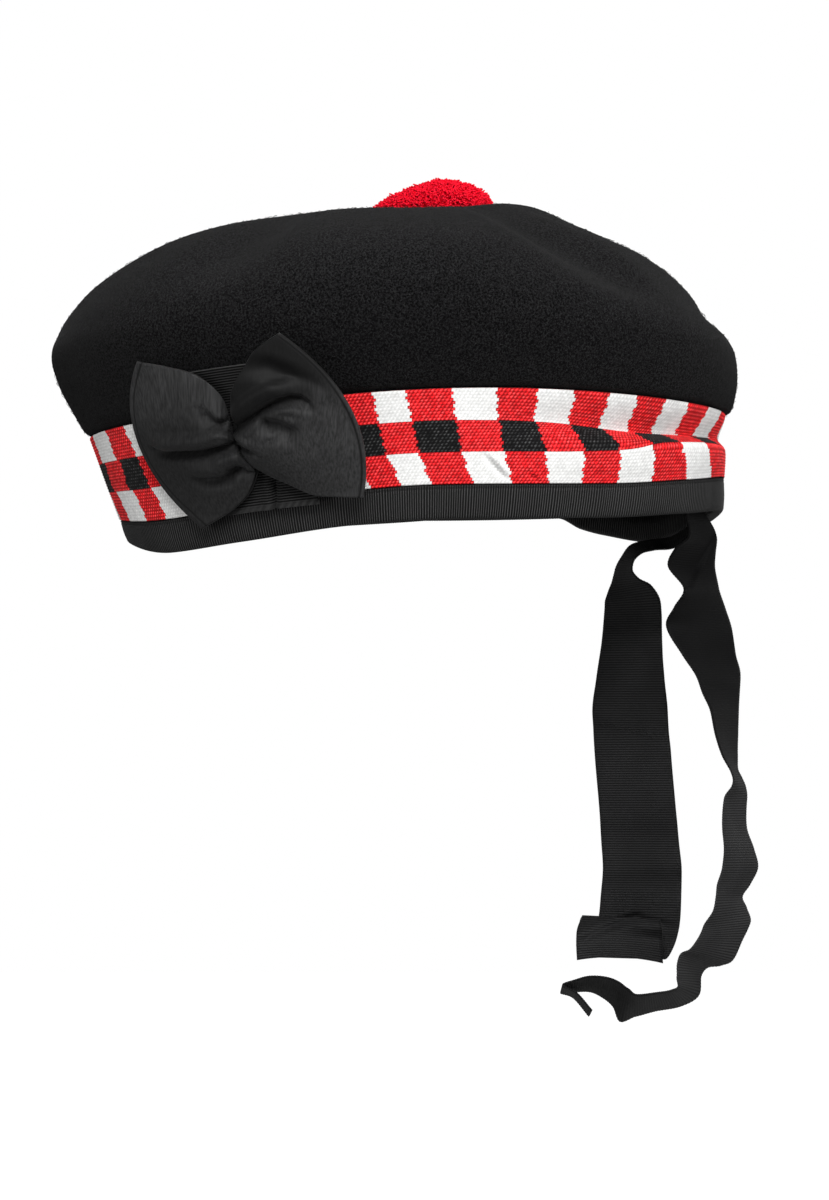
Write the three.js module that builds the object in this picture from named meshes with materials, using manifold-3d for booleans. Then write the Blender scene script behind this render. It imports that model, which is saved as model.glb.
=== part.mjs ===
// A balmoral bonnet in its worn form: a soft felt crown on a headband of diced tape, a ribbon bound over
// the rim, a ribbon bow at the wearer's left temple, two ribbon tails at the back and a wool toorie on top.
// Sizes are millimetres. The wearer faces -Y, their left is +X and +Z is up. The origin is the middle of
// the head opening, at the level where the rim sits on the head.
import * as THREE from "three";
import { mergeVertices } from "three/addons/utils/BufferGeometryUtils.js";
import Module from "manifold-3d";

// Walls, and the air between neighbouring pieces
const FELT_WALL = 2.0;
const TAPE_WALL = 1.2;
const RIBBON_WALL = 1.0;
const AIR = 0.4;

// Facets round the head, rows of facets up the tape, and the spacing of facets up the crown
const AROUND = 54;
const TAPE_ROWS = 6;
const CROWN_SPACING = 1.0;

// Headband: how far the felt's outer face stands from the origin, towards the four sides of the head
const RIM_REACH = { front: 105.6, back: 107.4, left: 80.7, right: 82.5 };
const BINDING_HEIGHT = 12.0;
const BINDING_INSIDE = 10.0;
const BINDING_ROUND = 1.2;

// Height of the rim's lower edge round the head: angle 0 is the wearer's left, 90 the back, -90 the front
const RIM_LEVELS = [
  { angle: -180, level: 9.5 },
  { angle: -150, level: 6.0 },
  { angle: -120, level: -2.5 },
  { angle: -90, level: -7.2 },
  { angle: -65, level: -10.9 },
  { angle: -45, level: -8.5 },
  { angle: -20, level: -4.0 },
  { angle: 0, level: -1.8 },
  { angle: 25, level: -1.0 },
  { angle: 45, level: 0.0 },
  { angle: 65, level: 3.0 },
  { angle: 88, level: 6.5 },
  { angle: 106, level: 2.5 },
  { angle: 120, level: -1.0 },
  { angle: 133, level: 2.5 },
  { angle: 139, level: 5.2 },
  { angle: 145, level: 9.6 },
  { angle: 180, level: 9.5 },
];

// Fold along the tape's middle row, round the back of the wearer's left side: low and high are shares of
// the tape's height between which it makes a shelf, out over the lower row and in under the upper one
const TAPE_FOLD = [
  { angle: -180, low: 0.34, high: 0.66, inward: 0.0, outward: 0.0 },
  { angle: 2, low: 0.34, high: 0.66, inward: 0.0, outward: 0.0 },
  { angle: 16, low: 0.34, high: 0.66, inward: 1.4, outward: 0.3 },
  { angle: 28, low: 0.35, high: 0.64, inward: 3.2, outward: 1.0 },
  { angle: 42, low: 0.38, high: 0.60, inward: 5.0, outward: 1.8 },
  { angle: 60, low: 0.40, high: 0.57, inward: 6.0, outward: 2.4 },
  { angle: 74, low: 0.40, high: 0.57, inward: 5.2, outward: 2.2 },
  { angle: 88, low: 0.38, high: 0.60, inward: 2.8, outward: 1.0 },
  { angle: 112, low: 0.34, high: 0.66, inward: 0.0, outward: 0.0 },
  { angle: 180, low: 0.34, high: 0.66, inward: 0.0, outward: 0.0 },
];

// Crown: a row for each ring from the seam above the tape to the middle of the top
const CROWN_RINGS = [
  { front: 121.0, back: 108.2, left: 92.5, right: 95.0, frontZ: 34.0, backZ: 42.3, leftZ: 41.6, rightZ: 45.0 },
  { front: 123.8, back: 111.4, left: 95.6, right: 98.8, frontZ: 35.2, backZ: 42.9, leftZ: 42.5, rightZ: 45.5 },
  { front: 129.0, back: 113.2, left: 100.0, right: 108.0, frontZ: 43.3, backZ: 47.5, leftZ: 49.0, rightZ: 47.5 },
  { front: 134.4, back: 114.1, left: 104.5, right: 117.0, frontZ: 54.0, backZ: 54.5, leftZ: 58.0, rightZ: 53.0 },
  { front: 136.3, back: 113.6, left: 106.5, right: 121.0, frontZ: 62.5, backZ: 61.8, leftZ: 67.0, rightZ: 62.0 },
  { front: 133.2, back: 110.0, left: 105.5, right: 119.0, frontZ: 71.5, backZ: 69.0, leftZ: 76.5, rightZ: 72.0 },
  { front: 124.6, back: 102.4, left: 101.0, right: 112.0, frontZ: 83.5, backZ: 78.0, leftZ: 86.5, rightZ: 82.5 },
  { front: 110.3, back: 91.4, left: 92.0, right: 99.0, frontZ: 95.2, backZ: 90.0, leftZ: 96.5, rightZ: 92.5 },
  { front: 90.0, back: 75.0, left: 78.0, right: 81.0, frontZ: 104.2, backZ: 101.2, leftZ: 104.3, rightZ: 100.0 },
  { front: 66.0, back: 56.0, left: 60.0, right: 61.0, frontZ: 109.2, backZ: 110.2, leftZ: 110.0, rightZ: 105.0 },
  { front: 43.0, back: 39.0, left: 41.0, right: 41.0, frontZ: 111.0, backZ: 115.8, leftZ: 113.6, rightZ: 106.6 },
  { front: 21.0, back: 21.0, left: 21.0, right: 21.0, frontZ: 108.4, backZ: 109.2, leftZ: 109.0, rightZ: 106.2 },
  { front: 0.0, back: 0.0, left: 0.0, right: 0.0, frontZ: 105.2, backZ: 105.2, leftZ: 105.2, rightZ: 105.2 },
];

// Soft dents in the crown: where each is centred, how far it spreads, how it slants and how deep it goes
const CROWN_DENTS = [
  { angle: -41, spread: 15, ring: 7.0, span: 2.4, slant: 1, depth: 3.4 },
  { angle: 33, spread: 16, ring: 7.4, span: 2.8, slant: -5, depth: 4.6 },
  { angle: 60, spread: 28, ring: 8.6, span: 1.1, slant: 0, depth: 2.2 },
  { angle: 88, spread: 40, ring: 5.7, span: 0.9, slant: 0, depth: 1.8 },
  { angle: 148, spread: 18, ring: 6.6, span: 2.6, slant: 4, depth: 4.0 },
  { angle: -138, spread: 18, ring: 6.2, span: 2.4, slant: -3, depth: 3.6 },
  { angle: -84, spread: 17, ring: 7.6, span: 1.8, slant: 2, depth: 2.0 },
];

// Cockade at the wearer's left temple: its seat on the headband, and how its ground leans and bends
const COCKADE = { angle: -41, height: 0.76, lean: 19.5, bend: 112, cup: 0.0031, facing: -31 };
const BACKING = { width: 38, length: 52, middle: 9, drop: 1.2, twist: 4.5, stand: 3.8, rows: 8, columns: 5 };

// Bow: a row for each section of a wing, from the pinch to the outer fold, across and up from the seat
const BOW_WINGS = {
  left: [
    { topS: 2.5, topT: 3.5, bottomS: 4.5, bottomT: -5.0, bulge: 0.0, front: 8.0, back: 5.6 },
    { topS: 1.5, topT: 14.0, bottomS: 6.5, bottomT: -14.0, bulge: -3.0, front: 13.5, back: 5.2 },
    { topS: -3.0, topT: 22.0, bottomS: 2.0, bottomT: -22.0, bulge: -7.0, front: 14.5, back: 5.2 },
    { topS: -12.5, topT: 27.6, bottomS: -7.0, bottomT: -26.8, bulge: -10.5, front: 12.5, back: 5.2 },
    { topS: -28.4, topT: 32.2, bottomS: -17.6, bottomT: -30.2, bulge: -14.0, front: 9.0, back: 5.8 },
  ],
  right: [
    { topS: 2.5, topT: 3.5, bottomS: 4.5, bottomT: -5.0, bulge: 0.0, front: 8.0, back: 5.6 },
    { topS: 3.5, topT: 13.0, bottomS: 10.0, bottomT: -12.0, bulge: 2.0, front: 13.5, back: 5.2 },
    { topS: 7.5, topT: 22.5, bottomS: 18.0, bottomT: -17.0, bulge: 4.5, front: 14.5, back: 5.2 },
    { topS: 14.0, topT: 31.0, bottomS: 29.0, bottomT: -21.0, bulge: 6.5, front: 12.5, back: 5.2 },
    { topS: 25.0, topT: 38.7, bottomS: 46.0, bottomT: -20.6, bulge: 8.0, front: 9.0, back: 5.8 },
  ],
};
// Pleats in the bow's face: from the pinch to part of the way out, at a share of the height that may slant
const BOW_PLEATS = [
  { wing: "left", start: -0.1, end: -0.42, reach: 0.85, width: 0.3, depth: 3.2 },
  { wing: "left", start: -0.5, end: -0.85, reach: 0.6, width: 0.26, depth: 1.6 },
  { wing: "left", start: 0.5, end: 0.75, reach: 0.6, width: 0.3, depth: 1.6 },
  { wing: "right", start: 0.3, end: 0.5, reach: 0.85, width: 0.3, depth: 3.0 },
  { wing: "right", start: -0.35, end: -0.2, reach: 0.6, width: 0.28, depth: 2.0 },
];
const BOW_STEPS = 40;
const BOW_COLUMNS = 10;
const BOW_ROUND = 0.5;

// Tails: a row for each bend; the ribbon's width lies at tilt in the side view and turns away from it by turn
const TAIL_WIDTH = 31.5;
const TAIL_COLUMNS = 3;
const TAIL_LEFT = [
  { x: -8.0, y: 97.7, z: 0.7, tilt: -105, turn: 80 },
  { x: -11.0, y: 91.1, z: -3.6, tilt: -98, turn: 79 },
  { x: -16.0, y: 83.4, z: -4.4, tilt: -84, turn: 80 },
  { x: -20.0, y: 78.1, z: -5.7, tilt: -70, turn: 80 },
  { x: -23.0, y: 75.2, z: -9.1, tilt: -51, turn: 82 },
  { x: -25.0, y: 73.8, z: -13.2, tilt: -18, turn: 81 },
  { x: -26.5, y: 74.5, z: -16.8, tilt: -3, turn: 75 },
  { x: -27.5, y: 75.9, z: -20.0, tilt: 6, turn: 63 },
  { x: -28.0, y: 77.2, z: -24.7, tilt: 0, turn: 53 },
  { x: -28.0, y: 77.4, z: -29.4, tilt: -2, turn: 51 },
  { x: -28.0, y: 77.0, z: -37.6, tilt: -2, turn: 49 },
  { x: -27.5, y: 76.3, z: -54.0, tilt: -1, turn: 40 },
  { x: -27.0, y: 76.3, z: -66.1, tilt: -1, turn: 31 },
  { x: -27.0, y: 77.2, z: -82.4, tilt: 0, turn: 30 },
  { x: -27.0, y: 78.6, z: -99.1, tilt: 0, turn: 30 },
  { x: -27.0, y: 79.8, z: -113.9, tilt: 0, turn: 28 },
  { x: -27.0, y: 80.5, z: -124.0, tilt: 0, turn: 26 },
  { x: -27.0, y: 80.0, z: -134.2, tilt: 0, turn: 23 },
  { x: -26.6, y: 79.1, z: -143.8, tilt: -1, turn: 20 },
  { x: -25.5, y: 77.1, z: -150.7, tilt: -1, turn: 16 },
  { x: -23.0, y: 74.5, z: -155.6, tilt: -1, turn: 19 },
  { x: -19.5, y: 72.8, z: -155.9, tilt: -1, turn: 19 },
  { x: -18.6, y: 72.0, z: -150.1, tilt: -1, turn: 14 },
  { x: -17.2, y: 71.9, z: -143.3, tilt: -2, turn: 22 },
  { x: -15.2, y: 72.0, z: -141.6, tilt: -2, turn: 28 },
  { x: -13.2, y: 71.7, z: -143.6, tilt: -2, turn: 22 },
  { x: -12.0, y: 71.2, z: -149.0, tilt: -2, turn: 3 },
  { x: -11.4, y: 71.2, z: -153.7, tilt: -2, turn: 3 },
  { x: -11.0, y: 71.4, z: -157.5, tilt: -2, turn: 3 },
];
const TAIL_RIGHT = [
  { x: 13.0, y: 97.8, z: 5.6, tilt: 17, turn: 107 },
  { x: 12.2, y: 100.5, z: -2.4, tilt: 14, turn: 113 },
  { x: 11.0, y: 98.1, z: -7.9, tilt: 1, turn: 121 },
  { x: 10.2, y: 96.7, z: -13.9, tilt: 1, turn: 126 },
  { x: 9.6, y: 100.3, z: -21.6, tilt: 6, turn: 117 },
  { x: 9.0, y: 99.8, z: -29.2, tilt: 1, turn: 130 },
  { x: 8.4, y: 99.6, z: -36.5, tilt: -3, turn: 143 },
  { x: 7.8, y: 103.1, z: -45.7, tilt: 1, turn: 132 },
  { x: 7.2, y: 106.4, z: -52.6, tilt: 5, turn: 125 },
  { x: 6.6, y: 107.5, z: -59.5, tilt: 4, turn: 119 },
  { x: 6.2, y: 108.7, z: -65.6, tilt: 4, turn: 113 },
  { x: 5.8, y: 109.5, z: -74.7, tilt: 3, turn: 109 },
  { x: 5.6, y: 110.7, z: -82.5, tilt: 3, turn: 104 },
  { x: 5.6, y: 112.4, z: -88.1, tilt: 8, turn: 99 },
  { x: 5.7, y: 113.4, z: -90.6, tilt: 6, turn: 100 },
  { x: 5.8, y: 113.8, z: -93.4, tilt: 2, turn: 103 },
  { x: 6.0, y: 112.7, z: -97.7, tilt: 1, turn: 109 },
  { x: 6.5, y: 112.2, z: -108.2, tilt: 0, turn: 110 },
  { x: 6.9, y: 113.8, z: -116.3, tilt: -1, turn: 114 },
  { x: 7.2, y: 114.1, z: -123.0, tilt: -1, turn: 118 },
  { x: 7.5, y: 111.8, z: -128.8, tilt: -2, turn: 116 },
  { x: 7.7, y: 110.1, z: -133.3, tilt: -3, turn: 111.5 },
  { x: 8.0, y: 110.3, z: -138.0, tilt: 2, turn: 116.5 },
  { x: 8.4, y: 109.1, z: -143.6, tilt: 3, turn: 126.5 },
  { x: 8.7, y: 106.5, z: -149.1, tilt: -4, turn: 124.5 },
  { x: 9.0, y: 103.2, z: -154.5, tilt: -16, turn: 124 },
  { x: 9.2, y: 99.8, z: -155.9, tilt: -18, turn: 122 },
  { x: 9.4, y: 96.6, z: -158.0, tilt: -12, turn: 114 },
  { x: 9.6, y: 95.3, z: -162.1, tilt: -8, turn: 109.5 },
  { x: 9.8, y: 95.0, z: -167.3, tilt: -24, turn: 109 },
  { x: 10.2, y: 90.6, z: -169.8, tilt: -49, turn: 106.5 },
  { x: 11.0, y: 82.7, z: -171.2, tilt: -69, turn: 105 },
  { x: 12.0, y: 75.8, z: -172.4, tilt: -82, turn: 107 },
  { x: 12.6, y: 71.6, z: -172.2, tilt: -96, turn: 114.5 },
  { x: 13.0, y: 68.8, z: -168.4, tilt: -94, turn: 108.5 },
  { x: 13.5, y: 65.0, z: -166.0, tilt: -92, turn: 105.5 },
  { x: 14.2, y: 59.3, z: -164.6, tilt: -79, turn: 102.5 },
  { x: 15.0, y: 53.5, z: -165.3, tilt: -85, turn: 100 },
  { x: 15.6, y: 49.1, z: -166.3, tilt: -85, turn: 97.5 },
  { x: 16.2, y: 53.5, z: -168.3, tilt: -85, turn: 96 },
  { x: 16.6, y: 59.4, z: -175.0, tilt: -85, turn: 96.5 },
];
const TAIL_STEPS_PER_BEND = 1;

// Toorie: a flattened ball of cut wool in short locks, seated in the hollow of the crown's top
const TOORIE = { y: 3.2, radius: 21.6, half: 9.8, base: 107.3, locks: 52, lockRadius: 3.8, lockLength: 4.2 };
const GOLDEN_ANGLE = Math.PI * (3 - Math.sqrt(5));

const FELT = { color: 0x1c1c1e, roughness: 0.95, metalness: 0 };
const TAPE = { color: 0xb5161c, roughness: 0.85, metalness: 0 };
const RIBBON = { color: 0x151516, roughness: 0.6, metalness: 0 };
const WOOL = { color: 0xd01820, roughness: 0.95, metalness: 0 };

const radians = THREE.MathUtils.degToRad;
const mix = THREE.MathUtils.lerp;

// A rounded hump: 1 at the middle, 0 at one spread to either side and beyond
function hump(offset, spread) {
  const share = Math.min(1, Math.abs(offset) / spread);
  return 0.5 + 0.5 * Math.cos(Math.PI * share);
}

// The smallest turn, in degrees, from one angle round the head to another
function angleBetween(from, to) {
  return ((to - from + 540) % 360) - 180;
}

// A smooth curve through one column of a table that never swings past the rows on either side
function track(rows, column, place) {
  const value = rows.map((row) => row[column]);
  const at = rows.map(place);
  const slope = [];
  for (let i = 0; i + 1 < rows.length; i += 1) {
    slope.push((value[i + 1] - value[i]) / (at[i + 1] - at[i]));
  }
  const tangent = value.map((_, i) => {
    const before = slope[Math.max(0, i - 1)];
    const after = slope[Math.min(slope.length - 1, i)];
    return before * after > 0 ? (2 * before * after) / (before + after) : 0;
  });
  return (wanted) => {
    let i = 0;
    while (i + 2 < rows.length && wanted > at[i + 1]) {
      i += 1;
    }
    const step = at[i + 1] - at[i];
    const t = THREE.MathUtils.clamp((wanted - at[i]) / step, 0, 1);
    const rise = t * t * (3 - 2 * t);
    const lead = t * (1 - t) * (1 - t) * step * tangent[i];
    const trail = t * t * (t - 1) * step * tangent[i + 1];
    return value[i] + (value[i + 1] - value[i]) * rise + lead + trail;
  };
}

const byRow = (_, i) => i;
const rimLevel = track(RIM_LEVELS, "level", (row) => row.angle);
const foldColumns = {};
for (const column of ["low", "high", "inward", "outward"]) {
  foldColumns[column] = track(TAPE_FOLD, column, (row) => row.angle);
}
const crownColumns = {};
for (const column of Object.keys(CROWN_RINGS[0])) {
  crownColumns[column] = track(CROWN_RINGS, column, byRow);
}

// Distance from the origin to an oval given by its reach towards the four sides of the head
function ovalReach(theta, oval) {
  const side = Math.cos(theta) >= 0 ? oval.left : oval.right;
  const end = Math.sin(theta) >= 0 ? oval.back : oval.front;
  if (side * end === 0) {
    return 0;
  }
  return 1 / Math.hypot(Math.cos(theta) / side, Math.sin(theta) / end);
}

// Height of a ring given by its heights at the four sides of the head
function ovalLevel(theta, ring) {
  const sides = (ring.leftZ + ring.rightZ) / 2;
  const ends = (ring.backZ + ring.frontZ) / 2;
  const roll = ((ring.leftZ - ring.rightZ) / 2) * Math.cos(theta);
  const pitch = ((ring.backZ - ring.frontZ) / 2) * Math.sin(theta);
  return (sides + ends) / 2 + roll + pitch + ((sides - ends) / 2) * Math.cos(2 * theta);
}

function polar(theta, reach, level) {
  return new THREE.Vector3(reach * Math.cos(theta), reach * Math.sin(theta), level);
}

// How far the tape's fold stands out at a share of the tape's height
function foldAt(degrees, share) {
  const low = foldColumns.low(degrees);
  const outward = foldColumns.outward(degrees);
  const profile = [
    { share: -1, out: 0 },
    { share: 0, out: 0 },
    { share: 0.6 * low, out: 0.8 * outward },
    { share: low, out: outward },
    { share: foldColumns.high(degrees), out: -foldColumns.inward(degrees) },
    { share: 1, out: 0 },
    { share: 2, out: 0 },
  ];
  return track(profile, "out", (row) => row.share)(share);
}

// Felt's outer face on the headband: height runs from 0 at the rim to 1 at the seam
function headband(theta, height) {
  const degrees = angleBetween(0, THREE.MathUtils.radToDeg(theta));
  const rimReach = ovalReach(theta, RIM_REACH);
  const seamReach = ovalReach(theta, CROWN_RINGS[0]);
  const rise = ovalLevel(theta, CROWN_RINGS[0]) - rimLevel(degrees);
  const wall = Math.hypot(seamReach - rimReach, rise);
  const fold = foldAt(degrees, (height * wall - BINDING_HEIGHT) / (wall - BINDING_HEIGHT));
  return polar(theta, mix(rimReach, seamReach, height) + fold, rimLevel(degrees) + rise * height);
}

// Felt's outer face on the crown before its dents: ring runs along the rows of the table
function plainCrown(theta, ring) {
  const row = {};
  for (const column of Object.keys(crownColumns)) {
    row[column] = crownColumns[column](ring);
  }
  return polar(theta, ovalReach(theta, row), ovalLevel(theta, row));
}

// Direction straight out of a surface given as a function of two parameters
function faceNormal(surface, u, v, stepU, stepV) {
  const alongU = surface(u + stepU, v).sub(surface(u - stepU, v));
  const alongV = surface(u, v + stepV).sub(surface(u, v - stepV));
  return alongU.cross(alongV).normalize();
}

function crown(theta, ring) {
  const degrees = THREE.MathUtils.radToDeg(theta);
  let depth = 0;
  for (const dent of CROWN_DENTS) {
    const round = angleBetween(dent.angle + dent.slant * (ring - dent.ring), degrees);
    depth += dent.depth * hump(round, dent.spread) * hump(ring - dent.ring, dent.span);
  }
  const normal = faceNormal(plainCrown, theta, ring, 0.01, 0.01);
  return plainCrown(theta, ring).addScaledVector(normal, -depth);
}

// A ring of points at one height of a surface, moved out from it by an offset
function surfaceRing(surface, heightAt, offset, stepV) {
  const ring = [];
  for (let i = 0; i < AROUND; i += 1) {
    const theta = (2 * Math.PI * i) / AROUND;
    const height = heightAt(theta);
    const normal = faceNormal(surface, theta, height, 0.01, stepV);
    ring.push(surface(theta, height).addScaledVector(normal, offset));
  }
  return ring;
}

// Headband ring a distance up from the rim, measured along the wall
function bandRing(distance, offset) {
  const heightAt = (theta) => distance / headband(theta, 1).distanceTo(headband(theta, 0));
  return surfaceRing(headband, heightAt, offset, 0.01);
}

// Headband ring at a share of the way from the binding's top to the seam
function tapeRing(share, offset) {
  const heightAt = (theta) => {
    const wall = headband(theta, 1).distanceTo(headband(theta, 0));
    return mix(BINDING_HEIGHT + AIR, wall - AIR, share) / wall;
  };
  return surfaceRing(headband, heightAt, offset, 0.01);
}

// Closed skin over rings of points in order, where a ring of one point is a pole. Each facet is split from
// its lower left to its upper right, so that facets that lie face to face are split alike.
function skin(rings, joinEnds, crossed = (j, k, i) => rings[k][i].z < rings[j][i].z) {
  const positions = [];
  const first = rings.map((ring) => {
    const start = positions.length / 3;
    ring.forEach((point) => positions.push(point.x, point.y, point.z));
    return start;
  });
  const index = [];
  const spans = joinEnds ? rings.length : rings.length - 1;
  for (let j = 0; j < spans; j += 1) {
    const k = (j + 1) % rings.length;
    const count = Math.max(rings[j].length, rings[k].length);
    for (let i = 0; i < count && count > 1; i += 1) {
      const next = (i + 1) % count;
      if (rings[k].length === 1) {
        index.push(first[j] + i, first[j] + next, first[k]);
      } else if (rings[j].length === 1) {
        index.push(first[j], first[k] + next, first[k] + i);
      } else if (crossed(j, k, i)) {
        index.push(first[j] + i, first[j] + next, first[k] + i);
        index.push(first[j] + next, first[k] + next, first[k] + i);
      } else {
        index.push(first[j] + i, first[j] + next, first[k] + next);
        index.push(first[j] + i, first[k] + next, first[k] + i);
      }
    }
  }
  const geometry = new THREE.BufferGeometry();
  geometry.setAttribute("position", new THREE.Float32BufferAttribute(positions, 3));
  geometry.setIndex(index);
  return geometry;
}

// A sheet of cloth with a wall, from its middle surface over u and v in 0 to 1
function cloth(middle, stepsU, stepsV, wall) {
  const loops = [];
  for (let i = 0; i <= stepsU; i += 1) {
    const face = [];
    const rear = [];
    for (let j = 0; j <= stepsV; j += 1) {
      const u = i / stepsU;
      const v = j / stepsV;
      const normal = faceNormal(middle, u, v, 0.004, 0.01);
      face.push(middle(u, v).addScaledVector(normal, wall / 2));
      rear.unshift(middle(u, v).addScaledVector(normal, -wall / 2));
    }
    loops.push([...face, ...rear]);
  }
  const geometry = skin(loops.map((loop) => loop.reverse()), false, (j, k, i) => i > stepsV);
  const index = Array.from(geometry.index.array);
  const size = 2 * (stepsV + 1);
  const last = stepsU * size;
  for (let j = 0; j < stepsV; j += 1) {
    const mirror = size - 1 - j;
    index.push(j, mirror, mirror - 1, j, mirror - 1, j + 1);
    index.push(last + j, last + j + 1, last + mirror - 1, last + j, last + mirror - 1, last + mirror);
  }
  geometry.setIndex(index);
  return geometry;
}

function buildCrown() {
  const outer = [bandRing(RIBBON_WALL + AIR, 0)];
  const inner = [bandRing(RIBBON_WALL + AIR, -FELT_WALL)];
  for (let row = 0; row < TAPE_ROWS; row += 1) {
    outer.push(tapeRing(row / TAPE_ROWS, 0));
    inner.push(tapeRing(row / TAPE_ROWS, -FELT_WALL));
  }
  outer.push(surfaceRing(headband, () => 1, 0, 0.01));
  inner.push(surfaceRing(headband, () => 1, -FELT_WALL, 0.01));
  const last = CROWN_RINGS.length - 1;
  for (let ring = 1; ring < last - 0.5; ring += CROWN_SPACING) {
    outer.push(surfaceRing(crown, () => ring, 0, 0.02));
    inner.push(surfaceRing(crown, () => ring, -FELT_WALL, 0.02));
  }
  const top = crownColumns.frontZ(last);
  outer.push([new THREE.Vector3(0, 0, top)]);
  inner.push([new THREE.Vector3(0, 0, top - FELT_WALL)]);
  return skin([...outer, ...inner.reverse()], true);
}

function buildTape() {
  const outer = [];
  const inner = [];
  for (let row = 0; row <= TAPE_ROWS; row += 1) {
    outer.push(tapeRing(row / TAPE_ROWS, AIR + TAPE_WALL));
    inner.push(tapeRing(row / TAPE_ROWS, AIR));
  }
  return skin([...outer, ...inner.reverse()], true);
}

// The binding's section: offset from the felt's outer face, and distance up from the rim
function buildBinding() {
  const outerFace = AIR + RIBBON_WALL;
  const innerFace = -FELT_WALL - AIR - RIBBON_WALL;
  const section = [
    { offset: outerFace - BINDING_ROUND, up: 0 },
    { offset: outerFace, up: BINDING_ROUND },
    { offset: outerFace, up: BINDING_HEIGHT },
    { offset: AIR, up: BINDING_HEIGHT },
    { offset: AIR, up: RIBBON_WALL },
    { offset: -FELT_WALL - AIR, up: RIBBON_WALL },
    { offset: -FELT_WALL - AIR, up: BINDING_INSIDE },
    { offset: innerFace, up: BINDING_INSIDE },
    { offset: innerFace, up: BINDING_ROUND },
    { offset: innerFace + BINDING_ROUND, up: 0 },
  ];
  return skin(section.map((point) => bandRing(point.up, point.offset)), true);
}

// Place on the cockade's ground: s across towards the back, t up the headband, d out from the felt
const seat = headband(radians(COCKADE.angle), COCKADE.height);
const facing = radians(COCKADE.facing);
const lean = radians(COCKADE.lean);
function cockadePoint(s, t, d) {
  const turn = facing + s / COCKADE.bend;
  const out = new THREE.Vector3(Math.cos(turn), Math.sin(turn), 0);
  const straight = new THREE.Vector3(Math.cos(facing), Math.sin(facing), 0);
  const away = d + COCKADE.cup * t * t;
  const radial = COCKADE.bend + away * Math.cos(lean) + t * Math.sin(lean);
  const level = t * Math.cos(lean) - away * Math.sin(lean);
  return seat.clone().addScaledVector(straight, -COCKADE.bend).addScaledVector(out, radial)
    .add(new THREE.Vector3(0, 0, level));
}

function buildBacking() {
  const twist = radians(BACKING.twist);
  const middle = (u, v) => {
    const along = (u - 0.5) * BACKING.length;
    const across = (v - 0.5) * BACKING.width;
    const s = BACKING.middle - along * Math.sin(twist) + across * Math.cos(twist);
    const t = BACKING.drop + along * Math.cos(twist) + across * Math.sin(twist);
    return cockadePoint(s, t, BACKING.stand);
  };
  return cloth(middle, BACKING.rows, BACKING.columns, RIBBON_WALL);
}

// The bow is one loop of ribbon: u runs from the back of the pinch round the left wing to the right wing
const wingColumns = {};
for (const wing of Object.keys(BOW_WINGS)) {
  wingColumns[wing] = {};
  for (const column of Object.keys(BOW_WINGS[wing][0])) {
    wingColumns[wing][column] = track(BOW_WINGS[wing], column, byRow);
  }
}

function bowPoint(u, v) {
  const round = Math.PI * (1.47 - 1.94 * u);
  const out = Math.abs(Math.cos(round));
  const wing = Math.cos(round) >= 0 ? "right" : "left";
  const sections = BOW_WINGS[wing].length - 1;
  const row = {};
  for (const column of Object.keys(wingColumns[wing])) {
    row[column] = wingColumns[wing][column](out * sections);
  }
  const side = Math.sign(Math.sin(round)) * Math.abs(Math.sin(round)) ** BOW_ROUND;
  const upward = 2 * v - 1;
  const s = mix(row.bottomS, row.topS, v) + row.bulge * (1 - upward * upward);
  const t = mix(row.bottomT, row.topT, v);
  let depth = mix(row.back, row.front, 0.5 + 0.5 * side);
  for (const pleat of BOW_PLEATS) {
    if (pleat.wing === wing && side > 0) {
      const line = mix(pleat.start, pleat.end, out / pleat.reach);
      depth -= pleat.depth * side * hump(upward - line, pleat.width) * hump(out - pleat.reach / 2, pleat.reach / 2);
    }
  }
  return cockadePoint(s, t, depth);
}

function buildTail(rows) {
  const path = new THREE.CatmullRomCurve3(rows.map((row) => new THREE.Vector3(row.x, row.y, row.z)));
  const bends = rows.length - 1;
  const tilt = track(rows, "tilt", byRow);
  const turn = track(rows, "turn", byRow);
  const middle = (u, v) => {
    const t = THREE.MathUtils.clamp(u, 0, 1);
    const flat = radians(tilt(t * bends));
    const swing = radians(turn(t * bends));
    const across = new THREE.Vector3(Math.sin(swing), Math.cos(flat) * Math.cos(swing), 0);
    across.z = Math.sin(flat) * Math.cos(swing);
    const tangent = path.getTangent(t);
    const place = path.getPoint(t).addScaledVector(tangent, (u - t) * TAIL_WIDTH);
    return place.addScaledVector(across, (v - 0.5) * TAIL_WIDTH);
  };
  return cloth(middle, bends * TAIL_STEPS_PER_BEND, TAIL_COLUMNS, RIBBON_WALL);
}

const wasm = await Module();
wasm.setup();

function toManifold(geometry) {
  const plain = new THREE.BufferGeometry();
  plain.setAttribute("position", geometry.getAttribute("position").clone());
  if (geometry.index) {
    plain.setIndex(geometry.index.clone());
  }
  const merged = mergeVertices(plain, 1e-4);
  return new wasm.Manifold(new wasm.Mesh({
    numProp: 3,
    vertProperties: new Float32Array(merged.getAttribute("position").array),
    triVerts: new Uint32Array(merged.index.array),
  }));
}

function fromManifold(solid) {
  const mesh = solid.getMesh();
  const geometry = new THREE.BufferGeometry();
  geometry.setAttribute("position", new THREE.Float32BufferAttribute(mesh.vertProperties, 3));
  geometry.setIndex(Array.from(mesh.triVerts));
  return geometry;
}

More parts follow.
